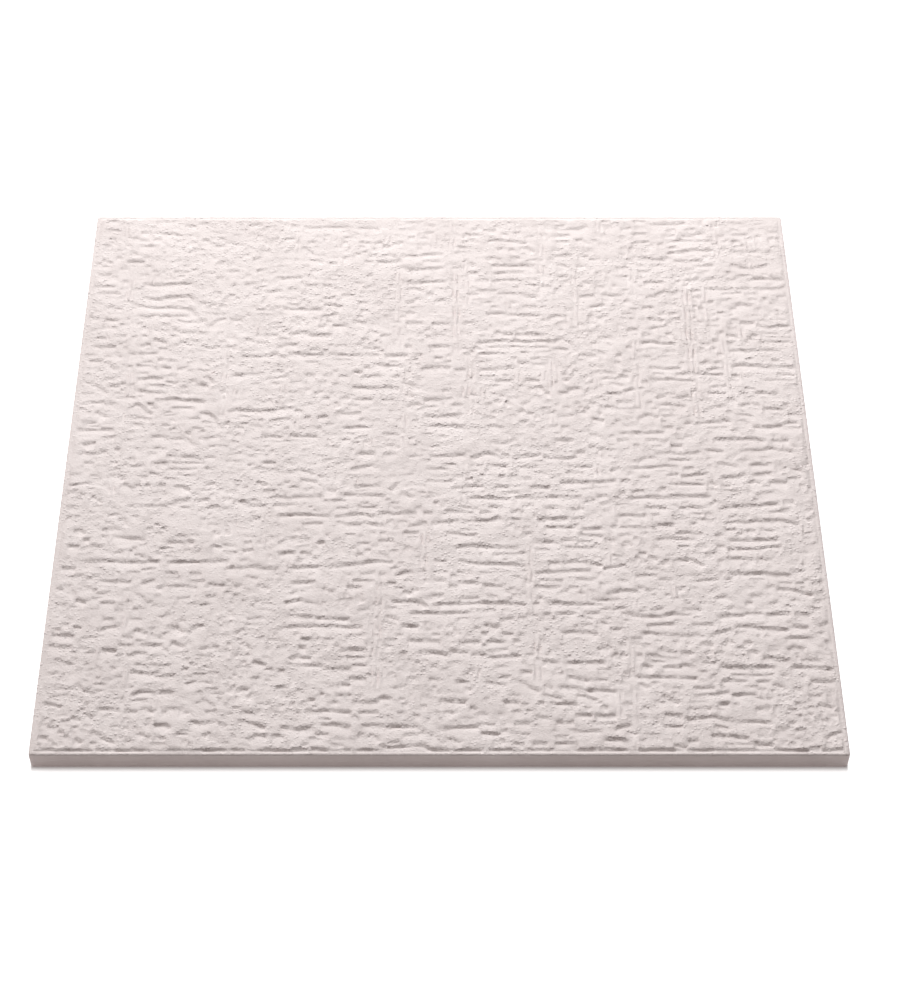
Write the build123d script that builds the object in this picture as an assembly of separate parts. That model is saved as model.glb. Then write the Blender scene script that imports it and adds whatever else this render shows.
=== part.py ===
"""Decorative ceiling tile: one square slab of rigid polystyrene foam, stored face up.

The origin is the centre of the flat back face. +X runs along the edge nearest the viewer,
+Y points away from the viewer, and +Z is up, out of the decorated face. Sizes are in millimetres.
"""

import os
from math import hypot

from build123d import *

# Overall sizes: the face, edge to edge, and the height from the back to the top of the relief
face_side = 500.0
thickness = 13.0

# Plain rim that runs round the relief on the face, a little below the relief's flat tops
rim_width = 4.0
rim_drop = 0.6
rim_slope_run = 0.5

# Edge of the slab: an upright band below the face, which butts against the next tile,
# and under it an undercut that leans inwards, so that only the bands touch
butt_band_height = 5.0
undercut_depth = 1.0

# Rounded corners and edges
corner_radius = 1.8
face_edge_radius = 0.6
back_edge_radius = 0.9

# Main pressed marks of the stucco: each has a steep wall that faces the viewer's edge, and a
# floor that rises from the wall's foot back up to the flat top; its two ends run out
mark_depth = 1.4
mark_wall_run = 1.3
mark_floor_run = 4.0
mark_end_run = 3.5

# How far the shape that cuts a mark stands above the face
cutter_over = 0.2

# Each main mark as x and y at its left end, then at its right end, on a face of this side
marks_side = 500.0
main_marks = (
    # Back left
    (-98, 238, -66, 238), (-207, 232, -186, 229), (-217, 218, -203, 218), (-93, 202, -81, 200),
    (-114, 183, -98, 183), (-210, 176, -175, 176), (-242, 167, -226, 166), (-209, 162, -175, 163),
    (-211, 153, -173, 150), (-210, 143, -175, 143), (-110, 151, -82, 150), (-129, 123, -113, 123),
    (-105, 124, -75, 124), (-241, 112, -225, 112), (-216, 104, -195, 105), (-137, 102, -111, 104),
    (-105, 104, -81, 103), (-224, 200, -212, 200), (-184, 129, -170, 128), (-165, 112, -154, 113),
    (-114, 110, -99, 114), (-209, 93, -198, 93),
    # Back middle
    (-60, 236, -42, 236), (34, 223, 64, 221), (-27, 206, 2, 208), (37, 195, 68, 196),
    (-30, 194, 2, 193), (38, 188, 61, 188), (26, 180, 60, 181), (-22, 178, 5, 179),
    (40, 166, 69, 165), (-80, 155, -68, 152), (32, 146, 72, 143), (-5, 135, 8, 135),
    (54, 124, 74, 124), (26, 116, 88, 118), (-7, 112, 7, 112), (-76, 104, -53, 103),
    (-50, 104, -22, 103), (17, 105, 47, 105), (54, 95, 74, 94), (-14, 88, 8, 91), (26, 88, 53, 91),
    (-24, 170, -10, 169), (59, 153, 70, 153), (-53, 111, -41, 111), (-44, 95, -25, 92),
    # Back right
    (154, 241, 179, 242), (163, 223, 198, 223), (163, 210, 198, 212), (209, 211, 232, 212),
    (83, 207, 107, 206), (169, 202, 190, 201), (211, 195, 234, 195), (218, 181, 243, 182),
    (190, 172, 210, 172), (224, 172, 243, 173), (100, 164, 131, 165), (155, 166, 171, 169),
    (208, 155, 223, 154), (225, 133, 243, 132), (140, 116, 165, 115), (223, 116, 243, 116),
    (201, 107, 238, 108), (99, 103, 112, 103), (145, 90, 161, 90), (201, 92, 243, 91),
    (84, 236, 107, 239), (138, 220, 152, 222), (176, 231, 192, 235), (145, 178, 160, 178),
    # Middle left
    (-208, 79, -190, 80), (-143, 83, -121, 85), (-194, 59, -160, 57), (-144, 47, -100, 50),
    (-243, 30, -220, 30), (-194, 23, -170, 22), (-120, 24, -106, 24), (-99, 24, -82, 23),
    (-192, -1, -157, -1), (-219, -12, -208, -16), (-176, -22, -165, -27), (-205, -41, -179, -41),
    (-134, -37, -115, -41), (-112, -33, -76, -33), (-106, -50, -72, -50), (-212, -68, -191, -71),
    (-177, -74, -159, -73), (-208, 69, -186, 65), (-243, 54, -230, 56), (-211, 32, -200, 35),
    (-127, -8, -82, -12), (-92, -17, -80, -20), (-110, -42, -94, -41), (-89, -58, -76, -57),
    (-221, -62, -207, -60), (-107, -76, -83, -71),
    # Centre
    (-60, 70, -28, 70), (-70, 46, -53, 46), (-66, 31, -46, 33), (-11, 42, 15, 44),
    (-10, 33, 18, 33), (-6, 4, 18, 6), (21, 4, 37, 7), (49, 3, 68, 6), (70, 3, 92, 4),
    (78, 20, 91, 20), (32, -4, 45, -4), (52, -4, 67, -4), (60, -24, 73, -24), (-65, -30, -35, -32),
    (18, -34, 47, -34), (49, -33, 94, -33), (-39, -48, -15, -47), (-69, -50, -42, -50),
    (0, -47, 23, -46), (-66, -57, -36, -58), (-5, -56, 35, -54), (64, -53, 85, -52),
    (69, -60, 92, -59), (6, -65, 25, -67), (61, -73, 79, -75), (11, -77, 52, -78),
    (-58, 59, -46, 59), (-37, 16, -26, 12), (-10, -18, 10, -18), (16, -23, 30, -22),
    (-60, -7, -40, -7), (-56, 7, -43, 7), (-57, -22, -38, -22), (-21, -58, -8, -57),
    (39, 77, 50, 77), (60, 70, 74, 66), (35, 18, 50, 21),
    # Middle right
    (163, 84, 197, 83), (216, 65, 233, 65), (150, 54, 169, 52), (221, 50, 235, 49),
    (173, 36, 199, 37), (213, 33, 243, 36), (121, 26, 152, 27), (185, 21, 220, 20),
    (203, 10, 238, 10), (153, 2, 170, 2), (86, -5, 103, -5), (161, -13, 179, -12),
    (188, -14, 203, -12), (80, -20, 117, -19), (152, -21, 176, -21), (205, -19, 231, -20),
    (124, -33, 180, -33), (136, -42, 150, -42), (157, -42, 174, -43), (184, -43, 224, -40),
    (116, -51, 136, -50), (142, -58, 154, -58), (188, -56, 236, -55), (92, -66, 107, -69),
    (141, -71, 167, -71), (189, -71, 220, -71), (187, -79, 222, -78), (110, 79, 131, 81),
    (82, 66, 97, 70), (158, 61, 170, 62), (186, 71, 197, 72), (205, 54, 219, 56),
    (140, 18, 155, 16), (107, 10, 119, 11), (128, -6, 151, -4), (178, 9, 191, 9),
    (168, -52, 180, -54), (81, -80, 102, -78), (221, 78, 243, 77),
    # Front left
    (-230, -91, -189, -91), (-176, -92, -136, -90), (-218, -107, -198, -108),
    (-122, -96, -104, -96), (-98, -95, -77, -95), (-97, -146, -49, -146), (-243, -153, -230, -154),
    (-243, -162, -231, -163), (-95, -172, -83, -172), (-192, -202, -165, -200),
    (-211, -214, -197, -214), (-153, -224, -137, -223),
    (-172, -112, -154, -114), (-95, -110, -80, -108), (-99, -127, -88, -124), (-97, -137, -80, -138),
    (-188, -160, -174, -162), (-151, -165, -138, -163), (-193, -184, -176, -182),
    (-243, -209, -232, -212), (-118, -237, -105, -235), (-97, -228, -78, -228),
    (-175, -227, -164, -229),
    # Front middle
    (-72, -95, -30, -91), (14, -91, 57, -93), (62, -100, 98, -98), (-30, -124, -8, -128),
    (-3, -127, 48, -127), (70, -127, 105, -128), (-78, -139, -57, -140), (-20, -157, 1, -158),
    (-12, -167, 6, -170), (20, -170, 51, -170), (-74, -180, -55, -181), (78, -176, 104, -176),
    (81, -187, 94, -191), (1, -206, 17, -208), (69, -208, 86, -210), (-82, -215, -54, -215),
    (-72, -226, -54, -227), (-48, -226, -12, -227), (0, -228, 25, -227), (12, -108, 26, -110),
    (28, -112, 42, -112), (62, -113, 78, -113), (-19, -135, 20, -135), (74, -137, 87, -137),
    (77, -152, 101, -154), (13, -159, 26, -159), (30, -159, 42, -159), (-57, -165, -46, -165),
    (-54, -207, -29, -205), (80, -229, 100, -230),
    # Front right
    (188, -102, 227, -102), (216, -114, 240, -118), (119, -136, 151, -136), (176, -138, 195, -136),
    (207, -136, 224, -136), (186, -147, 221, -148), (204, -172, 220, -174), (178, -179, 211, -179),
    (220, -180, 243, -181), (122, -186, 161, -188), (231, -191, 243, -191), (91, -198, 111, -199),
    (181, -202, 197, -202), (152, -220, 205, -224), (187, -88, 204, -88), (126, -102, 141, -102),
    (165, -107, 180, -105), (107, -118, 129, -117), (131, -146, 150, -145), (156, -129, 167, -130),
    (158, -196, 171, -196), (96, -219, 109, -219), (138, -230, 149, -230), (166, -234, 190, -236),
    (101, -236, 116, -237), (141, -154, 161, -156),
)

rim_height = thickness - rim_drop
undercut_height = rim_height - butt_band_height
relief_side = face_side - 2 * rim_width


def rounded_square(side, radius, height):
    """A square with rounded corners, centred on Z and lying at this height."""
    with BuildSketch(Plane.XY.offset(height)) as outline:
        RectangleRounded(side, side, radius)
    return outline.sketch


def slab():
    """The slab up to the rim: the undercut below and the upright band above it."""
    widest = rounded_square(face_side, corner_radius, undercut_height)
    back = rounded_square(
        face_side - 2 * undercut_depth,
        corner_radius - undercut_depth / 2,
        0,
    )
    undercut = loft([back.face(), widest.face()], ruled=True)
    band = extrude(widest, butt_band_height)
    return undercut + band


def relief_land():
    """The raised square that carries the relief, with a short slope down to the rim."""
    foot = rounded_square(relief_side, corner_radius, rim_height)
    top = rounded_square(
        relief_side - 2 * rim_slope_run,
        corner_radius - rim_slope_run / 2,
        thickness,
    )
    return loft([foot.face(), top.face()], ruled=True)


def pressed_mark(left_x, left_y, right_x, right_y):
    """The shape that cuts one mark: a shallow trough with a level foot line and sloping ends.

    The line between the two points runs along the middle of the mark's wall.
    """
    share = face_side / marks_side
    start = Vector(left_x, left_y) * share
    end = Vector(right_x, right_y) * share
    length = hypot(end.X - start.X, end.Y - start.Y)
    along = (end - start) / length
    forward = Vector(along.Y, -along.X)

    def at(run, reach, height):
        """A point this far along the mark and this far in front of its wall's top edge."""
        flat = start + along * run + forward * (reach - mark_wall_run / 2)
        return Vector(flat.X, flat.Y, height)

    rise = (mark_depth + cutter_over) / mark_depth
    back = mark_wall_run * (1 - rise)
    front = mark_wall_run + mark_floor_run * rise
    left = mark_end_run * (1 - rise)
    right = length - left
    top = thickness + cutter_over
    low = thickness - mark_depth
    corners = [at(left, back, top), at(right, back, top), at(right, front, top), at(left, front, top)]
    left_foot = at(mark_end_run, mark_wall_run, low)
    right_foot = at(length - mark_end_run, mark_wall_run, low)
    sides = [
        corners,
        [corners[0], corners[1], right_foot, left_foot],
        [corners[3], corners[2], right_foot, left_foot],
        [corners[0], corners[3], left_foot],
        [corners[1], corners[2], right_foot],
    ]
    return Solid(Shell([Face(Wire.make_polygon(side, close=True)) for side in sides]))


def edges_at(body, height):
    """The outermost ring of edges that lies at one height."""
    level = body.edges().filter_by_position(Axis.Z, height - 0.001, height + 0.001)
    reach = face_side / 2 - rim_width / 2
    return [
        edge
        for edge in level
        if max(abs(edge.center().X), abs(edge.center().Y)) > reach
    ]


def ceiling_tile():
    """The whole tile, moulded and pressed as one piece."""
    body = slab() + relief_land()
    body = fillet(edges_at(body, rim_height), face_edge_radius)
    body = fillet(edges_at(body, 0), back_edge_radius)
    return body - [pressed_mark(*mark) for mark in main_marks]


os.makedirs("parts", exist_ok=True)
export_step(ceiling_tile(), "parts/ceiling_tile.step")
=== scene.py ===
"""Blender scene for a square foam ceiling tile with a pressed stucco face.

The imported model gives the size. This file makes the pressed relief, the finish,
the plain studio and the camera. All lengths are in metres unless a comment or docstring says mm.
"""
import logging
from dataclasses import dataclass, field
from enum import Enum
from typing import Optional, Union

import bpy
import numpy as np
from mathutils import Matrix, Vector

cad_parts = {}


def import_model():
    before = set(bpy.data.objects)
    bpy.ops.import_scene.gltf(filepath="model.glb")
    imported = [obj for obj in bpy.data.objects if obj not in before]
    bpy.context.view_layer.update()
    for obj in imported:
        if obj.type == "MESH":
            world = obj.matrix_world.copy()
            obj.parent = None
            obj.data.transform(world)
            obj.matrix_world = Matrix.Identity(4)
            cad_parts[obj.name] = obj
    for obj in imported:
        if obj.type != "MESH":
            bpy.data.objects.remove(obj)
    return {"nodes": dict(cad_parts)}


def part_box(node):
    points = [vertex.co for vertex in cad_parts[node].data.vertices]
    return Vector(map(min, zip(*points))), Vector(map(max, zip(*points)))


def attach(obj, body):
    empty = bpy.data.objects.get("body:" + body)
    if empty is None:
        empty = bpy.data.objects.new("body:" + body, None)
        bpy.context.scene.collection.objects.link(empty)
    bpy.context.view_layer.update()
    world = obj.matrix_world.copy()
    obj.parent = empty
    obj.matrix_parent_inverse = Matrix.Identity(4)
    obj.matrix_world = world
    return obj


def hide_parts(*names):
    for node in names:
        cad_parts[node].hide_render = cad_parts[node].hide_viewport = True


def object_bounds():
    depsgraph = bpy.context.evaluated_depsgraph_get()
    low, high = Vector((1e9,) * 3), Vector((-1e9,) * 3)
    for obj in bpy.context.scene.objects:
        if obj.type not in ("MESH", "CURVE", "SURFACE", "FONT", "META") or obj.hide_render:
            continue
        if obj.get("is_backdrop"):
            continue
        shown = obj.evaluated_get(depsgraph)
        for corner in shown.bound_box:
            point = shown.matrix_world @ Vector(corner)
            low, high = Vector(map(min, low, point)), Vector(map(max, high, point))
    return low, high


LOG = logging.getLogger("ceiling_tile_scene")
MM = 0.001
Fed = Union[bpy.types.NodeSocket, float, tuple]

# Each mark was read from the photograph: its weight from 4 to 10, then the points of its path
# in mm, x to the right and y to the back. A mark with one point is a short dab.
FRONT_LEFT_MARKS = (
    (10,-230,-91,-189,-91), (6,-189,-90.5,-181,-91), (9,-176,-91.5,-150,-90,-136,-90),
    (8,-243,-96,-235,-97), (9,-218,-107,-198,-108.5), (6,-176,-101,-169,-101), (6,-160,-101,-154,-101),
    (7,-192,-110,-184,-106.5), (6,-181,-115,-176,-111.5), (7,-172,-112,-158,-112,-154,-114),
    (6,-160,-107,-151,-108), (4,-203,-115,-196,-114.5,-189,-121,-186,-126,-183,-125.5),
    (8,-138,-97,-133,-96), (6,-130,-97,-124,-95.5), (10,-122,-95,-112,-96.5,-104,-96),
    (9,-98,-95.5,-77,-95), (8,-104,-84.5,-94,-83), (6,-90,-83,-84,-83), (5,-123,-103,-116,-105.5),
    (5,-115,-111,-108,-115), (8,-95,-109.5,-80,-108.5), (8,-99,-127,-88,-124), (8,-97,-137,-80,-138),
    (10,-97,-146,-49,-146.5), (4,-103,-150,-99,-146), (8,-231,-124,-225,-126), (5,-240,-111,-236,-111),
    (5,-245,-115,-241,-114), (6,-213,-140,-206,-140.5), (8,-217,-151,-212,-147.5,-203,-145.5),
    (9,-244,-153,-230,-154.5), (9,-245,-162,-231,-163.5), (8,-212,-166.5,-203,-167),
    (8,-191,-149,-184,-152), (5,-185,-149,-181,-147), (5,-181,-152,-177,-155,-172,-150.5),
    (9,-171,-146,-166,-147,-160,-152), (8,-160,-153,-155,-147,-150,-144.5), (8,-188,-160.5,-174,-161.5),
    (7,-167,-160,-160,-163.5), (6,-196,-170,-190,-168,-184,-168), (7,-151,-165,-143,-162,-138,-163),
    (6,-126,-161,-122,-160,-118,-165), (7,-116,-176,-108,-178), (9,-95,-173,-89,-169.5,-83,-172),
    (6,-95,-176,-82,-178), (8,-98.5,-182), (6,-86,-163), (7,-193,-184,-180,-184.5,-176,-182.5),
    (6,-178,-186.5,-165,-187), (4,-190,-178,-168,-178), (9,-192,-203,-186,-200.5,-165,-200),
    (5,-191,-207,-180,-206.5), (8,-244,-209,-238,-209.5,-232,-212), (9,-211,-214,-203,-213,-197,-214.5),
    (7,-193,-214,-186,-215.5), (7,-182,-213,-175,-216), (6,-225,-220,-220,-222), (6,-218,-217,-212,-220),
    (8,-153,-224,-146,-225,-137,-223), (5,-134,-225,-130,-227), (7,-122,-222,-113,-225,-106,-229),
    (8,-118,-238,-112,-234,-105,-235), (6,-102,-235,-95,-234.5), (8,-97,-228,-86,-229,-78,-227.6),
    (7,-175,-227,-168,-226,-164,-229), (7,-244,-235,-239,-236), (8,-232,-231.5), (6,-221,-237,-217,-240),
    (8,-212,-232,-206,-234), (9,-206,-236,-197,-240), (5,-186,-228,-183,-230), (6,-184,-232,-180,-235),
    (6,-172,-235,-167,-237), (5,-190,-239), (5,-178,-236), (8,-127,-200,-122,-197,-118,-198),
    (5,-145,-206,-138,-212), (6,-144,-216,-138,-215), (5,-158,-214,-154,-218),
    (6,-121,-216,-115,-217,-110,-214), (5,-149,-121,-143,-120.5), (6,-132,-134,-129,-139),
    (5,-122,-140,-112,-138.5), (5,-163,-141), (5,-178,-139,-173,-135.5),
)

FRONT_MIDDLE_MARKS = (
    (9,-72,-95.3,-55,-93,-42,-91,-30,-90.8), (4,-36.5,-83.5,-30.3,-89), (6,-3,-89.5,5,-89.5),
    (10,13.4,-88.5,20.7,-91.3,32,-92.7,56.6,-93), (6,34,-84.6,40,-83.3,56.6,-83.3), (7,71,-92,78.5,-92),
    (8,80,-91.5,96.4,-90.5), (9,61.6,-101,70,-99.8,88,-98.3,98,-98.2), (7,-51,-101.4,-42,-100),
    (8,-36.5,-101), (9,-28.7,-102,-24,-101,-18,-99.8), (5,-55.6,-107,-42,-107), (6,-22,-106,-17.5,-106),
    (5,-4,-100,1.6,-98.6,6,-100), (6,11.7,-100,20.7,-100), (4,26,-99.8,46.5,-99), (4,33,-97,41,-97),
    (6,-3,-107,4,-107), (5,9.4,-103), (7,12,-108.4,20.7,-108.7,26.3,-110), (7,28.5,-111.5,42,-111.5),
    (6,57.7,-107,60,-110.4), (5,64,-107,70,-106.5,80,-108.4), (8,61.6,-112.6,78,-112.6),
    (6,-59,-112.5,-50,-112.5), (5,-68.5,-116), (5,-6.8,-107,-5.7,-110), (6,-15.8,-114,-13,-115.5),
    (8,-21.4,-116.6,-17.4,-118.3), (6,-5.7,-120,2.7,-119), (4,6.7,-112,11.7,-112), (5,14,-122,25,-122),
    (10,-29.8,-124.4,-25.3,-125,-19.7,-125,-13,-125.6,-8.5,-128.4,-6.2,-130.8),
    (10,-4,-128.4,0.5,-126.7,14,-126.7,25,-125.9,47.6,-126.7), (6,47.6,-126.7,55.5,-128.4), (6,64.4,-122),
    (6,62,-127), (10,70,-127.2,88,-127.8,99.7,-127.2,104.6,-127.7),
    (8,-18.6,-135,-1.7,-135,8.4,-134.5,19.6,-135), (7,66.7,-136,71,-136), (8,74.5,-135,87,-135),
    (9,-78,-139,-56.7,-139.6), (7,-32.6,-138,-25.3,-140.5), (6,38.6,-141.8,46.5,-140),
    (8,-23,-145,-13,-146.3), (7,28.5,-145.7,31,-144.6,38,-147), (4,4,-147,6,-144.6),
    (7,-60,-155.3,-57,-154), (6,-56,-152.5,-48.3,-152.5), (5,69,-149),
    (8,77,-152,82,-150.8,93,-150.7,100.8,-153.5), (9,-19.7,-157.5,-14,-157.5,1,-158.4),
    (8,12.8,-158.6,26.3,-158.9), (8,29.7,-159,42,-159), (7,47,-159,50.4,-159), (4,5,-153,7.8,-153),
    (6,28.5,-152.5), (9,-32,-162), (9,-57.3,-165.4,-46,-165.4), (6,-60.6,-166.5), (6,-78.6,-166.5),
    (7,-86,-162.6), (7,-22.5,-168.5), (9,-11.8,-167,0.5,-168.2,6,-170.4), (7,7,-167,18.5,-167.6),
    (5,29.7,-167,43,-164.3), (9,19.6,-171,25,-168.7,30.8,-171.5,51,-170.4), (6,-57.8,-171.5,-46.6,-171.5),
    (6,-87,-170.4,-80,-171.5), (9,-83,-177.5,-72.4,-178), (9,-73.5,-180.5,-55,-181),
    (8,-54.5,-177.4,-46,-177.4), (7,70,-176,74.5,-176), (10,78.5,-176.3,104,-176), (6,-3,-178.3),
    (9,-56,-188.5,-45.5,-188.5), (7,-63,-194,-55.6,-194), (5,-30,-185), (6,-16.5,-189.5),
    (5,-5.7,-189.8,0.5,-189.8), (8,37,-187.6,43.7,-187.6), (7,51.5,-184,57.7,-184),
    (9,80.7,-187.3,86.6,-188.5,94,-191.3), (6,29.7,-191.7,42,-194.5), (6,52,-191,57.7,-196.8,63.3,-200),
    (5,17.3,-197,20,-198), (8,73.4,-198,75.7,-196,81.3,-196,91,-198.4),
    (7,-54,-207.5,-39.9,-207.8,-36,-203.5,-33,-204.6,-28.7,-206.3), (6,-68.5,-208.6,-63,-209),
    (6,-23,-209,-19.7,-209), (6,-79,-206.3), (10,1,-206.3,17.3,-208), (8,40.3,-208.5,49.3,-207.8),
    (6,61,-208.5,64.4,-208.5), (8,69.5,-208.5,85.8,-209.7), (6,20,-212.5,24,-213.6),
    (6,5,-215.3,9.5,-217), (7,24,-217.5,30,-217.5), (6,46,-215.3,50,-215.3),
    (9,-82.5,-214.7,-68,-214.7,-54,-215.6), (8,-49.4,-215.6,-37.6,-215.6), (7,60,-219.8,68.4,-221.7),
    (5,-14,-218.7), (9,-72.4,-226.2,-64.6,-225.7,-54,-227.3),
    (10,-48.3,-226.5,-42,-225.7,-24,-226,-14,-226.9,-9.6,-230.4), (8,-22.5,-233.8,-15,-233.3,-9.6,-231.6),
    (9,-0.6,-228.8,10.6,-227,25,-227), (5,25,-225.4,34,-225.4), (7,47,-225,55.5,-225),
    (9,72.3,-224.3,82.4,-224.3), (9,25.7,-232.7,30.8,-232.5,37.5,-233.8), (7,39.8,-230.5),
    (6,48,-232.7,55,-233.8), (6,80,-228.8,87.7,-230.7,99.7,-230), (5,-40,-233.3,-35,-238.3),
    (6,-75,-233,-68,-233), (5,6,-236,14,-239.4), (6,34.7,-237.7,40.3,-239.4), (7,46.5,-240.5,52,-240.5),
    (7,57,-240.5,65.6,-240.5), (9,71,-240.3,83.5,-240.3), (9,-35.4,-241.7,-31,-242.8,-8.5,-241.7),
    (10,-8.5,-241.7,-4,-245,5,-245.6),
)

FRONT_RIGHT_MARKS = (
    (8,99.7,-91.6,106.3,-94.3), (6,105,-97.6,113,-95.4,121,-93.8), (5,131.5,-83.4),
    (6,137,-86.7,142,-88.9), (6,129,-87.5), (6,130.4,-90.5,135,-90.5), (7,143,-93.8,146,-90),
    (6,134,-96.7,141,-96.7), (9,152,-89.5,161.6,-89.5), (7,162,-87.2,166.5,-90,172.6,-94.3),
    (7,186.8,-87.7,203.8,-87.7), (7,206,-88.3,210,-88.3), (5,210,-90,216,-87.8),
    (8,226.8,-99.3,235.5,-97.8), (5,243,-98.7,246,-97), (7,126.5,-102.3,141,-102.3),
    (6,152,-102,168.7,-101.5), (10,188,-101.5,209.8,-101.5), (9,210,-102.2,226.8,-102.9),
    (7,88,-105.3,100.8,-105.8), (6,141,-105.6,149.6,-105.6), (7,165,-107,174,-105.8,179.7,-105.3),
    (6,184.6,-106,188,-106), (5,200,-106,209,-106), (6,239,-109.7,246,-107.7),
    (6,116,-106.7,121.6,-106.7), (6,84,-113,89,-113), (6,129.5,-113.5),
    (8,106.8,-118,114,-116.8,116,-115,124,-115.7,129,-116.8), (5,153,-117,154.5,-113.5),
    (6,207.6,-115.7,210,-112.4,214.7,-111.9), (9,215.8,-114.3,223.5,-113.8,230,-116.8,240,-119.7),
    (7,242,-117,246,-117), (8,98.6,-121.7,102,-124,108.5,-122.8,116,-122.3), (7,177,-121.3,183.5,-121.3),
    (6,200,-120.3,206,-120.3), (7,224,-125,227.3,-122.8), (6,237.7,-126.6,246,-122.3),
    (7,195.6,-126,199.4,-126), (6,211,-127.7,216,-126), (5,168.5,-126.5), (6,110.7,-131,117.8,-130),
    (5,131.5,-130), (6,135,-131.5,142,-130.3), (8,156,-131,167,-132), (6,183.5,-131.5,187,-130),
    (5,222.4,-129.4), (7,92,-134.7,102,-134.7),
    (10,118.3,-133.2,123.8,-136.5,133.7,-137.3,141.3,-137,148,-135,151,-135.4), (5,151,-136,161,-136),
    (9,176.4,-139.2,180.8,-136.5,195,-136), (8,195,-134.3,207,-134.9), (9,207,-136.3,223.5,-136),
    (7,226.8,-136.6,236,-136.6), (5,100.8,-142.6,107.4,-143.6), (5,119.4,-140.3), (5,107.8,-139.2),
    (8,131,-145.3,138,-143.8,150,-144.2), (5,160.5,-144.6,174,-144.6), (8,240.5,-144.7,246,-143),
    (9,185.7,-147.5,189.5,-145.6,199.4,-146.4,203.8,-148,213,-148,221.3,-149.6),
    (8,221.8,-146.4,230,-146,234.4,-147.5), (6,169.8,-155,175.3,-151.3,185,-148),
    (8,127.6,-152.4,132.6,-151.3,141.3,-152.4), (6,141.3,-152.4,152.3,-153.5,161,-154.6),
    (5,164,-152.4,167.6,-155), (5,108.5,-148,115,-148), (7,148,-158,150.6,-158),
    (4,136,-157.7,140,-157.7), (6,116,-160.6), (8,166,-159.5,173,-161.7), (6,179.7,-160.6),
    (7,183,-158,186,-159.5), (7,193.4,-159.5,197,-160.6), (7,245.4,-159), (5,219,-156.3,235.5,-156.8),
    (6,99.7,-165,107.4,-162.8), (7,140.8,-164.4,145.7,-167.5,150,-168.3),
    (8,152.3,-168.3,158.9,-168,160.5,-170), (5,166,-170,168.7,-166.6), (7,196,-166.6,200.5,-168.3),
    (6,218.6,-166.6,222.4,-163.9,230,-165.5), (6,107.4,-173.2,109.6,-170), (6,116.7,-169.4,118.9,-171.5),
    (6,130.4,-170,137,-170.5,141.3,-172), (4,141,-172,150,-172.2), (6,131,-174.3,142.4,-175.4),
    (9,203.8,-172,220,-174.3), (5,226.8,-174.8,238.8,-174.3), (9,128,-178,133.7,-179.2),
    (7,140,-179.8,152.3,-179.8), (8,152.3,-178,161,-179.8),
    (9,177.5,-178,181.9,-180.3,188.4,-180.3,200.5,-178.7,211.4,-179.5),
    (9,220,-179.8,233.3,-180.6,246,-181), (8,121.6,-183,123.8,-186.9,130.4,-187.4,150,-188,161,-188),
    (5,181.9,-185.8,209,-185.2), (5,215.5,-187), (5,227,-187), (7,132,-191.8,137,-190.7),
    (7,127,-193.5,131,-196.7), (8,175.3,-191.3,180.8,-190.2,191.7,-190.2), (8,198.3,-191,205.4,-191),
    (10,231.7,-190.8,246,-190.8), (8,158.3,-196.2,171,-195.6), (5,150,-196.7),
    (9,91,-198.4,99.7,-198.4,110.7,-199.5), (7,209.8,-194,213,-196.2,216,-199),
    (8,220.7,-197.8,225.7,-198.4), (6,230,-202.2,236.6,-202.2), (8,157.8,-202.8,165.4,-201.7,179.7,-199),
    (9,181.3,-201.8,197,-201.8), (5,85.5,-202.8,91,-202.8), (7,92.6,-203.9,98.6,-206),
    (6,134.8,-207,139.7,-208.3), (7,140.8,-202.8,144.6,-206.6,149,-208.8), (8,173,-209,178.6,-209),
    (9,195,-213.2,203.8,-212), (8,235,-209.3,244.3,-212), (6,82,-210), (6,102,-212.6),
    (8,140,-216.5,150,-218.7), (7,84.4,-219,94,-219), (8,96.4,-219.2,109,-219.2),
    (9,151.7,-221.4,161,-220.3,169.8,-219.2,175.3,-222,189.5,-223,204.9,-224), (7,215.3,-224,218.5,-224),
    (4,91,-225.2,108.5,-224.7), (7,106.3,-229,111.8,-226.9,117,-225.8), (7,138,-226.9,149,-226.9),
    (6,169.8,-226.9,178.6,-228.5), (7,117,-231,121.6,-233.4), (8,235,-237.3,240,-233.4,245.4,-231.8),
    (7,166.5,-234.5,175.3,-235,189.5,-236.7), (7,100.8,-237.3,116,-238.4), (6,152.3,-237.8,157.8,-237.8),
    (10,192.8,-241.7,203.8,-242), (4,174,-241,192,-241.5), (8,144.6,-242,151,-243.8),
    (6,80,-242.5,84.4,-242.5), (6,225.7,-243.4,232.8,-243.4),
)

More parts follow.
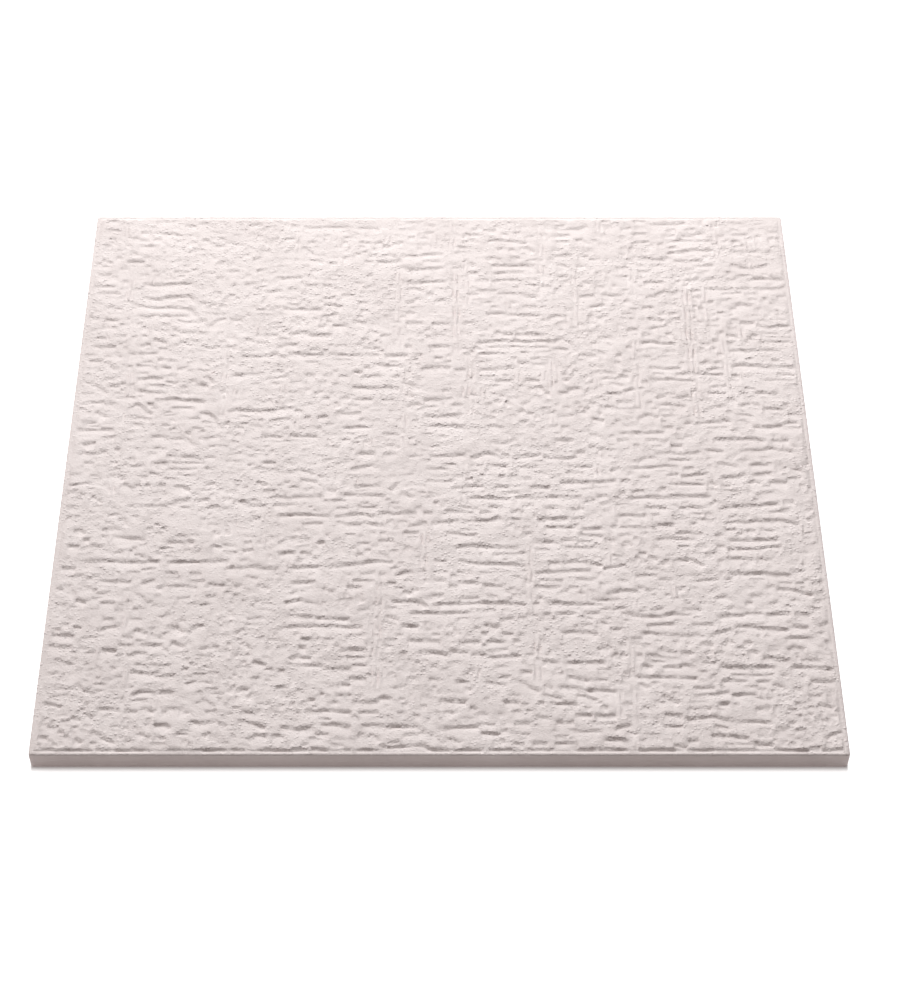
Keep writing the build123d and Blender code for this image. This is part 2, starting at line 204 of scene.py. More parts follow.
MIDDLE_LEFT_MARKS = (
    (9,-208,78.5,-190.4,80.4), (5,-188.8,81.8,-182,82.4), (6,-243,77.9,-236.5,74,-231.5,70,-225.8,64.4),
    (7,-225.8,72.3,-219.7,72.3), (5,-217.4,74.5), (6,-201.7,73.4,-193.8,73.4,-189.3,72.3,-182.6,71.7),
    (7,-187,76.8,-180.3,74.5), (6,-175.3,71.2), (5,-171.3,76.8,-168,76.8),
    (6,-162.4,79,-158.4,81.8,-156.2,77.9,-153.4,74), (7,-166.9,74,-157.9,72.3),
    (8,-208.4,68.9,-201.7,66.7,-193.8,66.7,-186,65), (6,-175.3,66.7,-170.8,65.5),
    (10,-194.4,58.6,-182.6,60.5,-171.3,57.9,-159.6,56.5), (7,-244.4,54.3,-238.8,56.5,-229.8,56),
    (4,-228.7,54.3,-219,54.3), (8,-206.2,54.3,-201.7,52,-197.8,46.4,-194.4,44.7), (5,-197,54.3),
    (5,-183.7,50.4,-166.9,50.9), (4,-187.6,46.4,-181.5,46.4),
    (7,-162.4,46.4,-156.7,45.9,-151.7,41.4,-148.9,35.2,-145.5,30.5), (5,-160,38,-150,36.9),
    (8,-144.4,35.2), (7,-232.6,45.9,-225.8,41.4), (6,-211.8,41.4,-199.4,41.4,-195,38.6),
    (7,-211.2,32.4,-208.4,35.2,-200,34.6), (6,-242,35.8,-233,36.9), (9,-245,29.6,-220.2,29.6),
    (6,-181,39.7,-178,37.4), (6,-186.5,34.6,-182.6,33.5), (6,-228.7,21.7,-224.7,22.8),
    (7,-222.5,22.8,-219.7,22.8), (5,-213,20.6,-207,20.6),
    (10,-194.4,23.4,-187,23.4,-181.5,21,-170.2,22.8), (6,-169.7,26.2), (5,-167.4,20.6,-163,14.4),
    (6,-161.8,22.3,-148.3,23.4), (6,-240.4,14.4,-235.4,17.2,-232,16.7), (7,-153,14),
    (6,-139.3,18.9,-134.8,17.8), (6,-136.5,25), (10,-119.7,23.6,-105.6,23.6),
    (10,-99.4,25,-95,23.4,-82,23), (4,-119.7,19.5,-88.2,19.5),
    (6,-238.8,8.2,-235.4,6.5,-227.5,7.7,-224.2,9.3), (7,-218,11.3,-215,11.3), (6,-195.5,7.4,-189.9,7.4),
    (7,-182.6,4.9,-162.4,4.3,-156.7,0.6), (7,-157.3,4.3,-150,4.3), (7,-192,-1.3,-156.7,-0.5),
    (7,-237,-1.5,-231,-1.5), (6,-218,-0.8,-215.2,-2.4), (7,-181.5,-6.4,-161.2,-6.4),
    (8,-156,-6.2,-149.4,-6.2), (5,-128,-4.1,-124,-3),
    (7,-127,-8,-122,-6.4,-115,-7.3,-109.5,-7.3,-105,-10.3,-98.3,-10.3,-93.8,-6.4,-87,-9.2,-81.5,-12),
    (6,-118,-1.9,-109.5,-1.9), (9,-219,-12,-215.2,-13,-207.9,-16.5), (7,-196.6,-14.2),
    (4,-175,-11.4,-161,-13.7), (7,-208.4,-21.5,-203.4,-25,-200.6,-22), (7,-193.8,-22.7), (7,-183.7,-22),
    (9,-176.4,-22.7,-171.3,-22,-166.9,-25.5,-164,-27.7), (8,-155,-21.3,-148.9,-21.3),
    (4,-160,-27,-151,-26.4), (8,-119,-19.3,-113.5,-22.7), (6,-116.9,-27.7,-109,-27.7), (6,-101,-19.3),
    (7,-91.6,-17,-80.3,-19.5), (7,-227.5,-33.3,-224.7,-35.6,-221.3,-39),
    (6,-205,-41.2,-187,-41.4,-178,-41.2), (8,-178,-41.2,-173.6,-37,-164.6,-35.8),
    (8,-161,-36.3,-158,-36.3), (7,-158,-35.5,-151.7,-35.5), (5,-187,-36.7), (5,-171,-42.3,-164.6,-42.3),
    (5,-158.4,-44,-154.5,-44), (9,-152.8,-42,-146,-42), (5,-143,-36,-139.3,-34),
    (10,-134.3,-36.7,-129.8,-37.8,-124,-40.7,-114.6,-41.2),
    (9,-111.8,-32.8,-100.6,-33.6,-92.7,-32.2,-76.3,-32.6), (8,-109.5,-40,-93.8,-39.2),
    (10,-105.6,-49.6,-92.7,-49.6,-71.3,-50.3), (8,-89.3,-57.5,-76.3,-57.3), (9,-122.5,-51.9,-118,-51.9),
    (8,-243,-52), (8,-218,-49.6,-211.8,-48.5), (7,-211,-53,-206,-53.3,-202.8,-60.3),
    (6,-201.7,-50.4,-197.8,-50.4), (8,-238.8,-63.7,-234.3,-63,-230.3,-67), (7,-229.8,-71.5),
    (6,-221.3,-64.2,-217.4,-61.4,-206.7,-61.4), (6,-184.3,-57.5), (5,-155,-53), (5,-189.3,-61.4),
    (8,-211.8,-67.6,-205,-69,-191,-71.5), (5,-219.7,-68.5,-215.7,-68.5), (8,-241,-77.2,-234.3,-77.2),
    (9,-177,-74.4,-166.9,-73.8,-164.6,-72,-159,-73.8), (5,-171,-68,-164.6,-68), (6,-145,-64.2,-142,-67),
    (6,-137,-63.7,-135.4,-67.6), (5,-106.7,-76,-104,-73.8,-99.4,-70,-88,-69.3,-82.6,-71),
    (6,-126.4,-73.8,-122.5,-73.8), (5,-140,-75.5,-132,-77.2), (6,-128,-81.7,-122,-80),
    (8,-143.3,83.5,-129.8,84,-121.3,85.5), (7,-115,86.9,-107.3,86.9),
    (5,-124,76.8,-119.7,79.6,-114,80,-104,81.8), (6,-114,75.6,-110,74), (7,-92.7,82.8,-86,82.8),
    (7,-86,64.4,-81.5,67.2), (6,-103.4,57.7,-99.4,56.5),
    (9,-144.4,47,-138.8,48.7,-130.9,47.8,-112.9,48.7,-110.7,50.9,-99.4,50.9), (8,-98.3,48.4,-93.3,48.4),
    (8,-115.7,38,-112.9,39,-106,40.2), (7,-104.5,39.7,-100.6,41), (6,-93.3,41.4,-88,41.4),
    (8,-82.6,41.4,-77,42.6),
)

CENTRE_MARKS = (
    (8,-60,70.6,-27.5,70.3), (6,-25.3,76.2,-19.7,74.5,-14,71.2,-11.8,68.4), (6,-32.6,80,-29.2,81.8),
    (5,-55.6,80,-48.9,81.3,-39.9,81.8), (7,-55.6,85.8), (6,-79.7,81.8,-75.8,83.5), (5,-80.3,76.2),
    (5,-69,81.8,-62,81.8), (7,-68.5,60,-63.4,61.6,-60,58.8), (5,-59,63.3), (8,-58.4,58.8,-45.5,58.8),
    (7,-79.7,60.5,-75.8,60.5), (6,-61.8,53.3,-54.5,53.3), (7,-24,62.8,-19.7,65.6,-16.3,61),
    (5,-38.8,58.7,-31,58.7), (6,-23.6,52.3,-19.7,53.8,-13,54.3), (6,-32.5,48.7),
    (9,-69.6,45.7,-53.3,45.7), (9,-66,31.3,-59,31.9,-45.5,33), (8,-38,25.2,-27.5,25.7), (6,-48.9,17.9),
    (7,-37,15.6,-29.8,15,-25.9,11.7), (5,-27.5,32,-22,26.3), (5,-18.6,21.8), (6,-15.8,38.6),
    (5,-55,38.6,-50,40.9), (9,-10,58.3,0.5,59), (5,0.5,59,8.4,60.5), (6,-9.6,52,-1.7,52),
    (8,9,53.8,15.6,53.8), (9,-11.3,42.2,9.5,43,15,44.8), (9,-9.6,33.6,9.5,33.6,16,32.8,18.5,32.5),
    (7,-6.2,12.8,-3.4,14,0.5,14), (6,1.6,66.7,6,69), (9,-6.2,4.4,8.4,5.2,17.9,6),
    (9,20.7,3.3,26.3,4.4,29.7,7,37.5,7), (6,37.5,7,42,4.4,47.6,3.3), (6,40.3,10.6,43.7,6.7,47.6,4.4),
    (8,49.3,2.7,62,5,67.8,7.2), (5,51,5.5,62,6), (8,70,3.9,79,2.2,86.7,2.7,92.3,4.4),
    (6,-7.9,-6.8,6,-7.4), (9,32,-3.8,45.4,-4.5), (9,52,-4.5,66.7,-4.5), (5,62,-9.6,67.8,-9.4,73.4,-12.4),
    (7,-9.6,-18,-6.2,-17.2,9.5,-17.7), (4,-6,-14.3,6,-14.3), (6,10.6,-13.3,15,-13.3), (7,18,-16,21.8,-16),
    (6,42,-13.5), (5,8.4,-24.4,15,-24.4), (8,16,-23,29.7,-22.5), (6,37.5,-23.3,46.5,-23.3),
    (9,60.5,-24,73.4,-24), (7,84,-11.3,87.9,-9.6,96.8,-11.3), (4,73.4,-16.3,80,-13.5),
    (8,-60,-7.4,-55.6,-5.7,-48.9,-5,-44.4,-4,-39.9,-7.4), (8,-55.6,7,-43.2,7), (7,-37.6,6,-29.8,7.4),
    (6,-56.7,-22.5,-47.7,-23,-37.6,-22.5), (7,-75.8,-26.4,-68,-28), (9,-64.6,-30,-52.2,-30.4,-35.4,-32),
    (7,-34,-27.5,-28.7,-20.3), (5,-24,-29.8,-16.3,-34.3), (6,-78.6,-13.5), (5,-31,-13.5),
    (6,-53.3,-42.2,-41,-42.2), (5,-68,-42.7,-60,-43.8), (8,-69,-51,-60,-49.4,-50,-48.3,-42,-51),
    (10,-39.3,-47.7,-31,-48.3,-15.2,-47.2), (9,-65.7,-55,-60,-57.8,-50.5,-58),
    (7,-48.9,-56,-41,-58.4,-35.4,-57.8), (7,-34,-55,-29.8,-55), (7,-27,-55,-20.3,-55),
    (8,-20.8,-58.4,-8.5,-56.7), (7,-13.5,-42.5), (7,-9.6,-47.5,-5,-47.5), (6,-1.7,-38),
    (8,0.5,-47.7,6,-45.5,9.5,-46,23,-46.6), (6,12.8,-42,26.3,-43.3), (7,27.4,-46.6,34,-46.6),
    (8,33,-42,41,-42), (9,-5,-56.7,9.5,-55), (9,10,-54,34.7,-54.3,38.6,-51.7), (4,19.6,-58,29.7,-58),
    (9,18.5,-33.7,32,-33.7,47.6,-34.3), (10,49.3,-33.7,57.7,-32.6,70,-32.6),
    (9,70,-32.6,88,-33.2,94,-32.6), (5,41,-29,52,-29), (4,55.5,-40.7,62,-40.7), (8,70,-43.8,79,-42),
    (9,64,-53.3,70,-52.8,84.6,-52.2), (9,69,-60.6,86.7,-60,89,-56.7,92.3,-58), (6,51.5,-60.4),
    (7,55.5,-65.6,60.5,-65.6), (8,5.5,-65,11.7,-65.7,25,-67.4), (9,-23,-64.5,-13.5,-64.5),
    (8,-39.3,-71.9,-29.8,-71.9), (6,-36.5,-65), (6,-43,-64), (9,61,-73.5,75.7,-73.5,79,-75.8),
    (8,79.6,-71.9,87.3,-71.9), (5,63,-79.5,72,-79.5), (10,10.6,-78,19.6,-76.7,35.3,-77.5,52,-78.3),
    (9,-80,-74.7,-76,-73.5), (6,-20.8,-79), (6,-46.6,-80.8), (5,-66,-71.9,-63,-74.7,-61,-84.8),
    (7,-87,-84,-83,-84), (6,28,82,38,82.5), (7,28,79.5,38,79), (7,38.6,77,50.4,77), (9,60,78.4,69,78),
    (8,84.5,77.3,87.3,79,90,77.3), (7,60,69.5,67.8,72.3,71.2,71.2,74.5,65.6), (8,74,65.8), (7,43,62.8),
    (9,37,56,40.3,58.6,43.7,57), (6,34,54.3), (7,47.6,56.6,50.4,52.7), (7,55,54.3,57.7,56),
    (8,48.7,43,52,43), (6,53,46.5,56,48.7), (8,60,46.5,63.9,46.5), (5,64.4,43.5,67.8,43.5),
    (8,33,33.3,40,33.3), (5,42,32), (6,37.5,47), (7,35,18.4,44,17.5,50.4,21.3), (7,48.7,14.5,54,14.5),
    (7,72,14), (9,78.5,20.5,90.7,20), (5,81,43,91,43), (5,85,33), (6,62.8,33),
)

MIDDLE_RIGHT_MARKS = (
    (7,106,86.3,113.7,86.9,122.6,86), (6,130.5,86), (8,110,79,114.8,80.7,121.5,80.4,124.9,82.4,131,81.3),
    (6,118,75.7,126.6,73.4), (6,139,75,141.7,76.2), (8,145.6,78.5,156.3,78.5,176.5,77.3),
    (9,163,84,169.8,84,172,85.8,181,84,196.7,82.6), (6,202.3,82.5,206.8,82.5), (4,209,81.3,215.8,83),
    (6,233.7,84,245,82.4), (4,199,77.9,205.7,79), (5,221.4,77.9,237,78.5,245,77.3),
    (8,81.7,65.6,86.7,66,88.4,68.9,96.8,70.3), (8,126.6,67.2,133.9,68.9), (8,115.3,64.7,124.3,64.7),
    (8,155.7,65,161.4,64.7), (7,148.4,60.5,154,62.8), (7,158.5,61,164.7,60,169.8,62.2),
    (6,172.6,66.7,175.4,68.4), (8,186,71.2,197.3,72.3), (8,184.4,65,196,65.5), (8,195.6,57,200.6,59.4),
    (8,215.8,64.4,221.4,65.6,232.6,65), (5,206.8,64.7,210,64.7), (6,211,60.8,216,60.8),
    (4,220,60.6,234,61), (7,205,51.5,210,54.3,219,54), (7,237,53.8), (8,220.8,49.9,227,50.4,234.8,49.3),
    (4,211,50.2,219,50.2), (9,122,56.6,132,55.7), (8,110.3,51.5,119.3,51), (4,120.4,49.8,138,50.4),
    (7,144,55.5), (5,94.6,55.5), (5,105,55), (9,150,53.8,160.8,53.4,169,52.3), (5,150.7,48.4,162,48.4),
    (6,152.4,42.2,160.8,43), (5,178,45.4,183,49.9,193.3,52.7), (6,197.8,47.6), (6,238,44.8,245.5,45.4),
    (8,95,47.6,100.8,46.5), (6,101.3,50.4), (8,107.5,44.8,109.7,46.5,112,43), (7,104.7,39.7,112,38.4),
    (6,121.5,38), (6,133.9,38.6,139.5,43.7), (6,83.4,32.5,88,32.5), (9,121.5,26.5,129.4,26.3,151.8,27.4),
    (7,152.4,32.5,158.5,32.5), (8,163,31.3), (8,165.8,35.8,170.9,37),
    (8,173,35.8,179.9,37.5,190,37.3,192,39.7,199,37.3), (5,181,31.9,195.6,31.9), (6,197.8,27.4,201,29.7),
    (9,213.5,33.6,221.4,32.8,230.4,33,236,37,243.8,37.5), (6,230,31.9,245,31.9), (5,103,25.7,109,23),
    (8,119.8,19,123.8,20.7,128,20.7), (8,140,20.5,147.3,20,154.6,18.2), (10,156.3,14.5,163.6,14.5),
    (9,185,20.9,192,20.7,208,21,212.4,21.6,220.3,19.6), (8,224.7,20,235.4,20), (9,91.8,8.2,98,8.2),
    (8,107,10,110.3,11.7,118.7,10.8), (5,103,12.8), (5,126,12.3), (5,133,15),
    (7,131,-1.8,135,1.6,138.3,3.8,147.3,2.2), (6,144,7.4,151.8,7.8,158.5,7,169.8,7.2,175.4,9.4),
    (8,153.5,1.8,169.8,1.8), (7,177.6,9.4,180.4,11,186.6,9.4,191,9.2),
    (6,202.9,8.9,206.8,10.6,216.9,11,220.3,12.8,228,11.7,238,8.9), (8,86,-4.6,97.4,-4.6,103,-5),
    (5,113.7,-10.2,119.3,-6.3), (7,128,-6.3,142.8,-6,151.8,-4.6,159.7,-4), (6,163.6,-5.7,169.8,-5.7),
    (7,187,-1.8,192,-2.9,199.5,-4.6), (7,208,-2.7,221.4,-2.7), (7,241.6,-5,245,-1.8),
    (6,151.8,-13,158.5,-11.3), (8,160.8,-13.5,168.6,-13,178.7,-11.9),
    (8,188,-14.7,197.8,-14.7,202.9,-11.9), (8,209,-12.4,221.4,-10.7), (10,80,-20,90,-19.2,101.3,-19.7),
    (8,101,-19.7,117,-18), (4,92.3,-25.3,102.4,-24.8,112.5,-23), (7,121.5,-18.3,126.6,-18.3),
    (6,133.3,-15,140,-15), (8,152.4,-22,154,-20.3,160.8,-21.4,176.5,-21.4), (7,181.5,-19.7,185.5,-22.5),
    (6,187.7,-22.5,193.3,-22.5), (9,204.6,-20.3,209,-18,214.6,-19.2), (8,220.3,-19.2,231,-20.3),
    (5,241.6,-22.5), (7,143.4,-28.7,147.3,-25.3,150,-25.3),
    (9,124.3,-34.3,129.4,-33,139.5,-32.6,142.8,-33.2,151.8,-33.2), (10,151.8,-32.6,165.3,-32,179.9,-33),
    (7,104,-32.6,110,-31.5), (5,121,-29.6), (5,128,-28,135,-27), (5,105.8,-39.4,113.7,-36.6),
    (9,136,-42.2,149.6,-42.4), (9,157.4,-42.7,165.3,-41.6,174.3,-43), (6,177.6,-41,182,-37.7),
    (7,183.8,-44.4,191,-42.7,199,-41.6), (9,199,-41,210,-41,223.6,-39.4),
    (7,217,-46.6,224.7,-46,229,-43.3), (6,228,-37.4,233.7,-37.4), (7,242.7,-43.3,246,-44.4),
    (6,87.3,-44.4,94.6,-42.7), (8,93.5,-62,102.4,-62.4,107,-61.2),
    (9,116.5,-51,122.6,-49.8,128,-51,136,-49.8), (6,140.6,-49,144,-49), (6,177,-48.6),
    (6,111.4,-61.2,114.8,-59,116,-52.3), (5,113.7,-60.5,142.8,-60.5), (9,142.3,-57.9,154,-58.4),
    (8,167.5,-52.3,173,-53.4,179.9,-54.5), (6,163.6,-60,167.5,-56.7),
    (9,187.7,-56.2,195.6,-55.4,202.3,-56.7,206.8,-55,214.6,-55,224.7,-53.4,231.5,-56.7,236,-57.6),
    (6,240.5,-55.6,245.5,-50), (8,91.8,-66.3,96.8,-67.4,107,-69), (5,91,-73,100,-73),
    (9,109,-71.3,114.8,-73), (6,81,-77.5,98.5,-79,102.4,-75.3), (6,131,-67.4,134,-65),
    (6,155,-65,172,-66.6), (8,141,-71,157.4,-70,167.5,-70.8), (5,117,-68.5,125,-67.4), (6,121.5,-73.6),
    (6,125,-75,126.6,-78), (6,180,-68.5,184,-67), (6,181,-77,185.5,-77), (6,187.7,-62.4,194.5,-63.5),
    (7,201.7,-64,206,-64), (6,210.7,-62.4,219,-63.5), (9,188.8,-71.3,207.9,-71.6,220.3,-70.8),
    (8,187,-80.3,192,-79.2,205.7,-79.4,213.5,-77.5,222,-77.2), (5,166.4,-77,172,-76,175.4,-79),
    (5,141,-77.5), (6,132.7,-83.7), (5,238,-77,245.5,-74.7),
)

BACK_LEFT_MARKS = (
    (4,-241,244.5,-233.6,244.5), (6,-207,243,-190.8,245), (6,-175,242,-168,242),
    (8,-185,239.2,-177,239.2), (5,-139,240.7,-129.4,240.7), (5,-107.5,239,-101,239),
    (8,-98,238.5,-66,238.3), (8,-216,231.4,-209.4,232.5), (9,-206.7,232.5,-200.7,231.6,-193,231,-186,228),
    (7,-182.6,230,-177,230), (6,-218,224,-210.5,224), (7,-207.8,225,-201.8,226.4), (6,-220,225.5),
    (8,-217,218.3,-203,218.3), (8,-241,217.7,-237.4,217.7), (4,-235,221,-232.5,218),
    (4,-197,217.7,-190,217,-183,215.8), (7,-180.4,222,-175.5,222), (8,-169.4,223.7),
    (7,-168.3,223,-162.3,218.2,-154.6,217), (6,-159,225.6,-155,225.6), (7,-153,221.3),
    (7,-148.6,221.3,-144.8,218.8,-140.4,218), (5,-141.5,213), (7,-140.4,208.6,-137,208.6),
    (7,-166,209,-163.4,208.3,-158.5,202.3), (8,-133.3,204.3,-127.8,204.3), (6,-103.7,202.3,-100.4,202.3),
    (9,-93.3,201.8,-87.8,202.3,-81.7,199), (6,-96.5,215.5,-92,210.5,-88.9,207.8,-81.2,207.2),
    (6,-94.3,221.7,-89.4,221.7), (6,-130,228.6), (7,-223.7,200.3,-212.2,200.3),
    (8,-239.6,202.3,-233.6,198), (6,-230,205), (4,-220,211,-216.6,206), (6,-154.6,200), (7,-157.4,198),
    (5,-149,198.7,-145,198.7), (7,-177,192.7,-173.3,192.7), (5,-180,196.5), (7,-205.6,190,-201.2,190),
    (7,-213.8,186.3,-207.8,186.3), (5,-201.8,185.5), (7,-189.7,189.6,-179.8,189.6),
    (8,-243.4,186,-234.6,186), (7,-150.8,190.7,-141,190.7), (8,-131,190.8,-125.6,192.8), (5,-103,192.8),
    (6,-91.6,191.5,-85.6,191.5), (7,-158.5,183,-154.6,183), (6,-138,186,-135,186),
    (8,-114,183.7,-111.3,182,-108.6,183.7,-98.2,183.7), (6,-224.8,179,-221,179),
    (6,-243,175.5,-240,173.3,-230.8,173.3), (10,-210,177,-200.7,175.5,-190.8,176,-175.5,176.6),
    (7,-99.3,178.2,-96,178.2), (8,-95.4,174.5,-86.7,174.5), (8,-82.5,174.6,-77,174.6),
    (8,-138.7,175.5,-132.2,177.7), (6,-145.9,175), (6,-130.5,171.6),
    (9,-121.8,169.5,-119.6,167.8,-113,170.2), (4,-111.3,174.4),
    (8,-242.3,167.2,-235.8,167.2,-228,166.7,-225.3,164.5), (4,-238.5,163.4,-224.8,161.8),
    (9,-209.4,164,-204.5,161.2,-197.4,160,-195.2,162.3,-187.5,162.3,-175.5,163.2,-172.2,155.7),
    (8,-221.5,159.6,-216,157.4,-211.6,153.5,-206,152.4,-200.7,151.9,-188.6,151.9,-173.3,149,-168.9,141.5),
    (9,-234,153,-223.7,150.8), (9,-210,143,-206,141.5,-200,144.2),
    (9,-198,143,-190.8,143.7,-184,143.7,-175.5,142.8), (7,-245,141.5,-240,139.3),
    (7,-234.7,138.2,-225.9,138.2), (7,-183,139.3,-178.8,137,-171,137,-164.5,138),
    (7,-161.2,131,-158.5,136,-151.3,140.4), (8,-146.4,138.7,-138.2,139.8), (7,-236.8,131.4,-232,131.4),
    (6,-228,131.6), (5,-241,129), (9,-207.8,130.5), (6,-210.5,135), (5,-196.8,134,-188.6,134),
    (7,-199.6,128.5,-189.7,128.5), (7,-184,129.4,-180.4,126.7,-173.3,126.4,-170,128),
    (5,-170,125.8,-162,125.8), (6,-240,120.3,-231.4,120.3), (6,-206,122.3), (5,-221,122.5),
    (8,-199,118.5,-193,117.4,-188.6,114.6), (7,-178.8,117.4,-171,113.5,-169.4,112),
    (5,-175.5,119,-165.6,116.5), (8,-240.7,111.7,-225.3,111.7), (7,-207.8,111.7,-202.9,113.5),
    (7,-202.3,109.7), (6,-195,109.4,-189.7,109.4), (8,-165,112.4,-159,110.2,-153.5,113),
    (7,-134.4,118.5,-128.3,116.8), (8,-126.7,115.7,-119.6,115.7), (6,-120,112),
    (8,-128.9,123.4,-113,123.4), (7,-107.5,127.8),
    (9,-105.3,124,-99.8,124.5,-96.5,126.7,-92,126,-88.9,123.4,-75.2,123.6),
    (8,-113.5,109.7,-107.5,113.5,-98.7,113.5), (8,-216,104.2,-201.8,104.8,-195.2,104.8),
    (9,-137,102,-118.5,102,-114,104.8,-110.8,104.2), (6,-110.8,101.5,-104.2,102),
    (9,-105.3,104.2,-97.6,104.8,-94.3,102.6,-79,103), (6,-232,102.3,-228.6,102.3),
    (5,-222.6,103.7,-219.8,99.8), (9,-242.9,96.5,-239,98.2,-233.6,97.6),
    (6,-231.9,96.5,-227,95.4,-224.8,89.4,-218.2,88.3,-215.5,85), (7,-209.4,92.7,-198,92.7),
    (6,-206,96.5,-198.5,96.5), (8,-193,97.6), (5,-187.5,97,-182,97), (8,-193,91,-185.3,89.4),
    (7,-181.5,88.9,-175.5,91), (6,-172.7,95.4), (6,-163.4,96.5,-161.2,93.2,-158.5,96.5), (6,-144.8,101),
    (6,-143.7,96.5,-140.4,93.2), (7,-134.9,94.3), (6,-119.6,95), (6,-92,96,-83.4,96.5),
    (10,-109.7,151.3,-92,150.3,-82.3,149.9), (6,-114.6,152), (7,-103,161.8), (4,-96,160), (7,-147,164.5),
    (6,-143.7,161.2), (6,-152.4,153.5), (5,-138.7,160,-135.5,166), (5,-127.2,154.6,-122.3,165),
    (6,-98.2,141.5,-93.3,136.5), (6,-81.7,142.6),
)

BACK_MIDDLE_MARKS = (
    (7,-60.6,235.4,-57.8,237.4,-45,237,-41.6,234.3), (8,-9.6,232,-4,232), (5,20.7,229.4,28.5,229.4),
    (6,15.6,220.3,19.6,223.6,25,224,29,222), (8,33.6,222.5,41,223.3,51,223,57.7,222,63.9,220),
    (8,-46,220.5,-42,220.5), (7,-33.7,219.5,-27,220.6), (7,-40.4,216.5,-35.4,216.5), (4,-55.6,216.4),
    (6,-68,222.5), (5,-73,216), (6,14,215.8,19.6,216.3,25,215), (6,42,213.5,47,215.2),
    (7,49.3,213,53,214.3), (7,58.8,216.3,64.4,215.8,70,210.7), (6,-14,214.7), (6,-58.5,209),
    (7,-52,207,-45.5,207), (6,-36,208), (8,-27.5,206.2,-15.2,206.5,-10.7,207.9,-1.7,208.7,2.7,208.5),
    (6,52,205.7,57.7,205.7), (6,34,201.2,38,204.6), (5,-12.4,201.2,2.7,201.2),
    (8,-44.4,199.7,-38.8,199.5,-27.5,201.8), (5,-53,200,-46.6,200), (6,-70,204,-65,205.7),
    (8,-78.6,198.3,-74,198.3), (7,22.4,199,26.9,196), (10,37.5,195.6,63.3,196.4,68.4,195),
    (9,-29.8,195.3,-25.3,194.8,-20.8,191.7,-10.7,192.6,-1.7,193.4,2.7,195),
    (9,38,187.2,47.6,189.4,61,189.4), (8,20.7,188.7,28,188.7), (8,-49.4,185.5), (4,-8.5,184.4),
    (9,25.7,179.9,30.8,181.3,35.3,181), (9,37,179.3,45.4,181,60,181.3), (7,-58.4,178.2,-54,176.5),
    (8,-54.5,172.6,-46.6,176), (4,-76,173,-70,171), (6,-79.5,182), (7,-35,175,-33,175), (6,-39,172),
    (9,-22.5,178.2,-17.4,177,-8.5,178.8,0.5,179.5,5.6,179), (8,-24,170.3,-18.6,172,-14,170.3,-9.6,168.7),
    (5,-2.9,171.5,8.4,171.5), (5,5.5,168.7), (8,-8.5,166,-4.5,166), (7,-55.6,169.2,-45,169.2),
    (8,-68.5,165,-60.6,165), (7,-38.8,166.3,-34.8,166.3), (9,19,164.7,23,167,28,166.4),
    (8,26.9,169.8,32,170,41,169.8), (8,39.8,166.4,51,167,58.8,165.9,64.4,163,69.5,164.5), (5,54.4,172.6),
    (6,30,157.4,36.4,157.4), (7,-4,159,5,160.8), (7,-24,156.3,-19.7,158,-16.3,161.4,-13,162),
    (7,-56.7,156.8,-50,156.8), (7,-44.4,155.8), (8,-80.3,155.5,-74.7,154.6,-68,151.5),
    (7,-55,149,-49.4,149), (5,53,157,55,155), (7,58.8,153.3,70,152.6), (6,74,153),
    (8,-24,145.7,-19.7,147.4,-16.3,145.7), (6,-26,142.5),
    (10,32.5,145.7,45.4,145.7,53,144.5,62,143.4,72.3,143.6),
    (8,70.6,139.5,75.7,139.5,80,142.9,89.8,143.5), (6,-80,143.4,-72.4,145), (8,-4.5,135.2,7.2,135.2),
    (7,-23,135.8,-15.8,135.8), (7,-13.5,136), (6,16.2,134,21.8,135.6,26.3,134), (7,83.5,135.8,89.3,136),
    (6,-8.5,129.4), (8,-60,137.3,-50,135), (6,-77.5,137.3), (6,-45,135.6,-42,133.3),
    (9,-74.7,132.8,-64.6,132.8), (8,-84.8,131.6,-80.3,133.3), (6,-41,122.7,-34.8,123.8),
    (5,-47.7,127.7,-42,125.5), (6,39.8,127,44,126), (6,45.4,125,51,123.8), (9,53.8,124,74.5,123.8),
    (5,17,126.6), (5,20.7,125.5),
    (10,25.7,114.8,30.8,116.5,47.6,117.6,58.8,117,70,117.6,79,116.5,83.5,119.9,88,119.3),
    (6,34,111.5,47.6,111.5,60,112,76.8,111.8), (9,80,110.3,90.4,109.5), (7,-53.3,119,-49.4,119),
    (8,-53.3,110,-41,110), (6,-55.6,113.7), (7,-23,111.5,-19.7,111.5), (8,-6.8,112.2,7.2,112.2),
    (9,-79,103.5,-70,104,-60,103,-52.2,102.8), (9,-50,105.3,-46.6,104,-42,103.6),
    (10,-37.6,103,-28.7,103,-22,103), (8,16.8,104.2,23,106.4),
    (8,26.3,104.2,34,104.7,41,105.8,47.6,104.7), (5,56.6,105.8,62,105.8),
    (8,24,110.9,27.4,110.9,30.8,108.6), (8,63.3,99,68.4,100.8), (9,54.4,95.2,62,95.2),
    (9,64.4,94.6,74.5,94), (6,34.7,97.7), (6,-14,103), (7,-16.3,99), (5,-78,99,-59,99),
    (7,-44.4,94.6,-37.6,92.4,-24.7,92.4), (5,-34,96.5,-28.7,96.5), (8,-51.7,90.7,-48.3,90.7),
    (8,-57.8,86.8,-53.3,85), (6,-48.9,81.7), (6,-23,87,-19.7,87),
    (9,-14,87.3,-9.6,89.6,1.6,91.8,8.4,89.6), (8,11.7,88.5,17.9,88.5), (10,26.3,88.5,36.4,89,53.2,90.9),
)

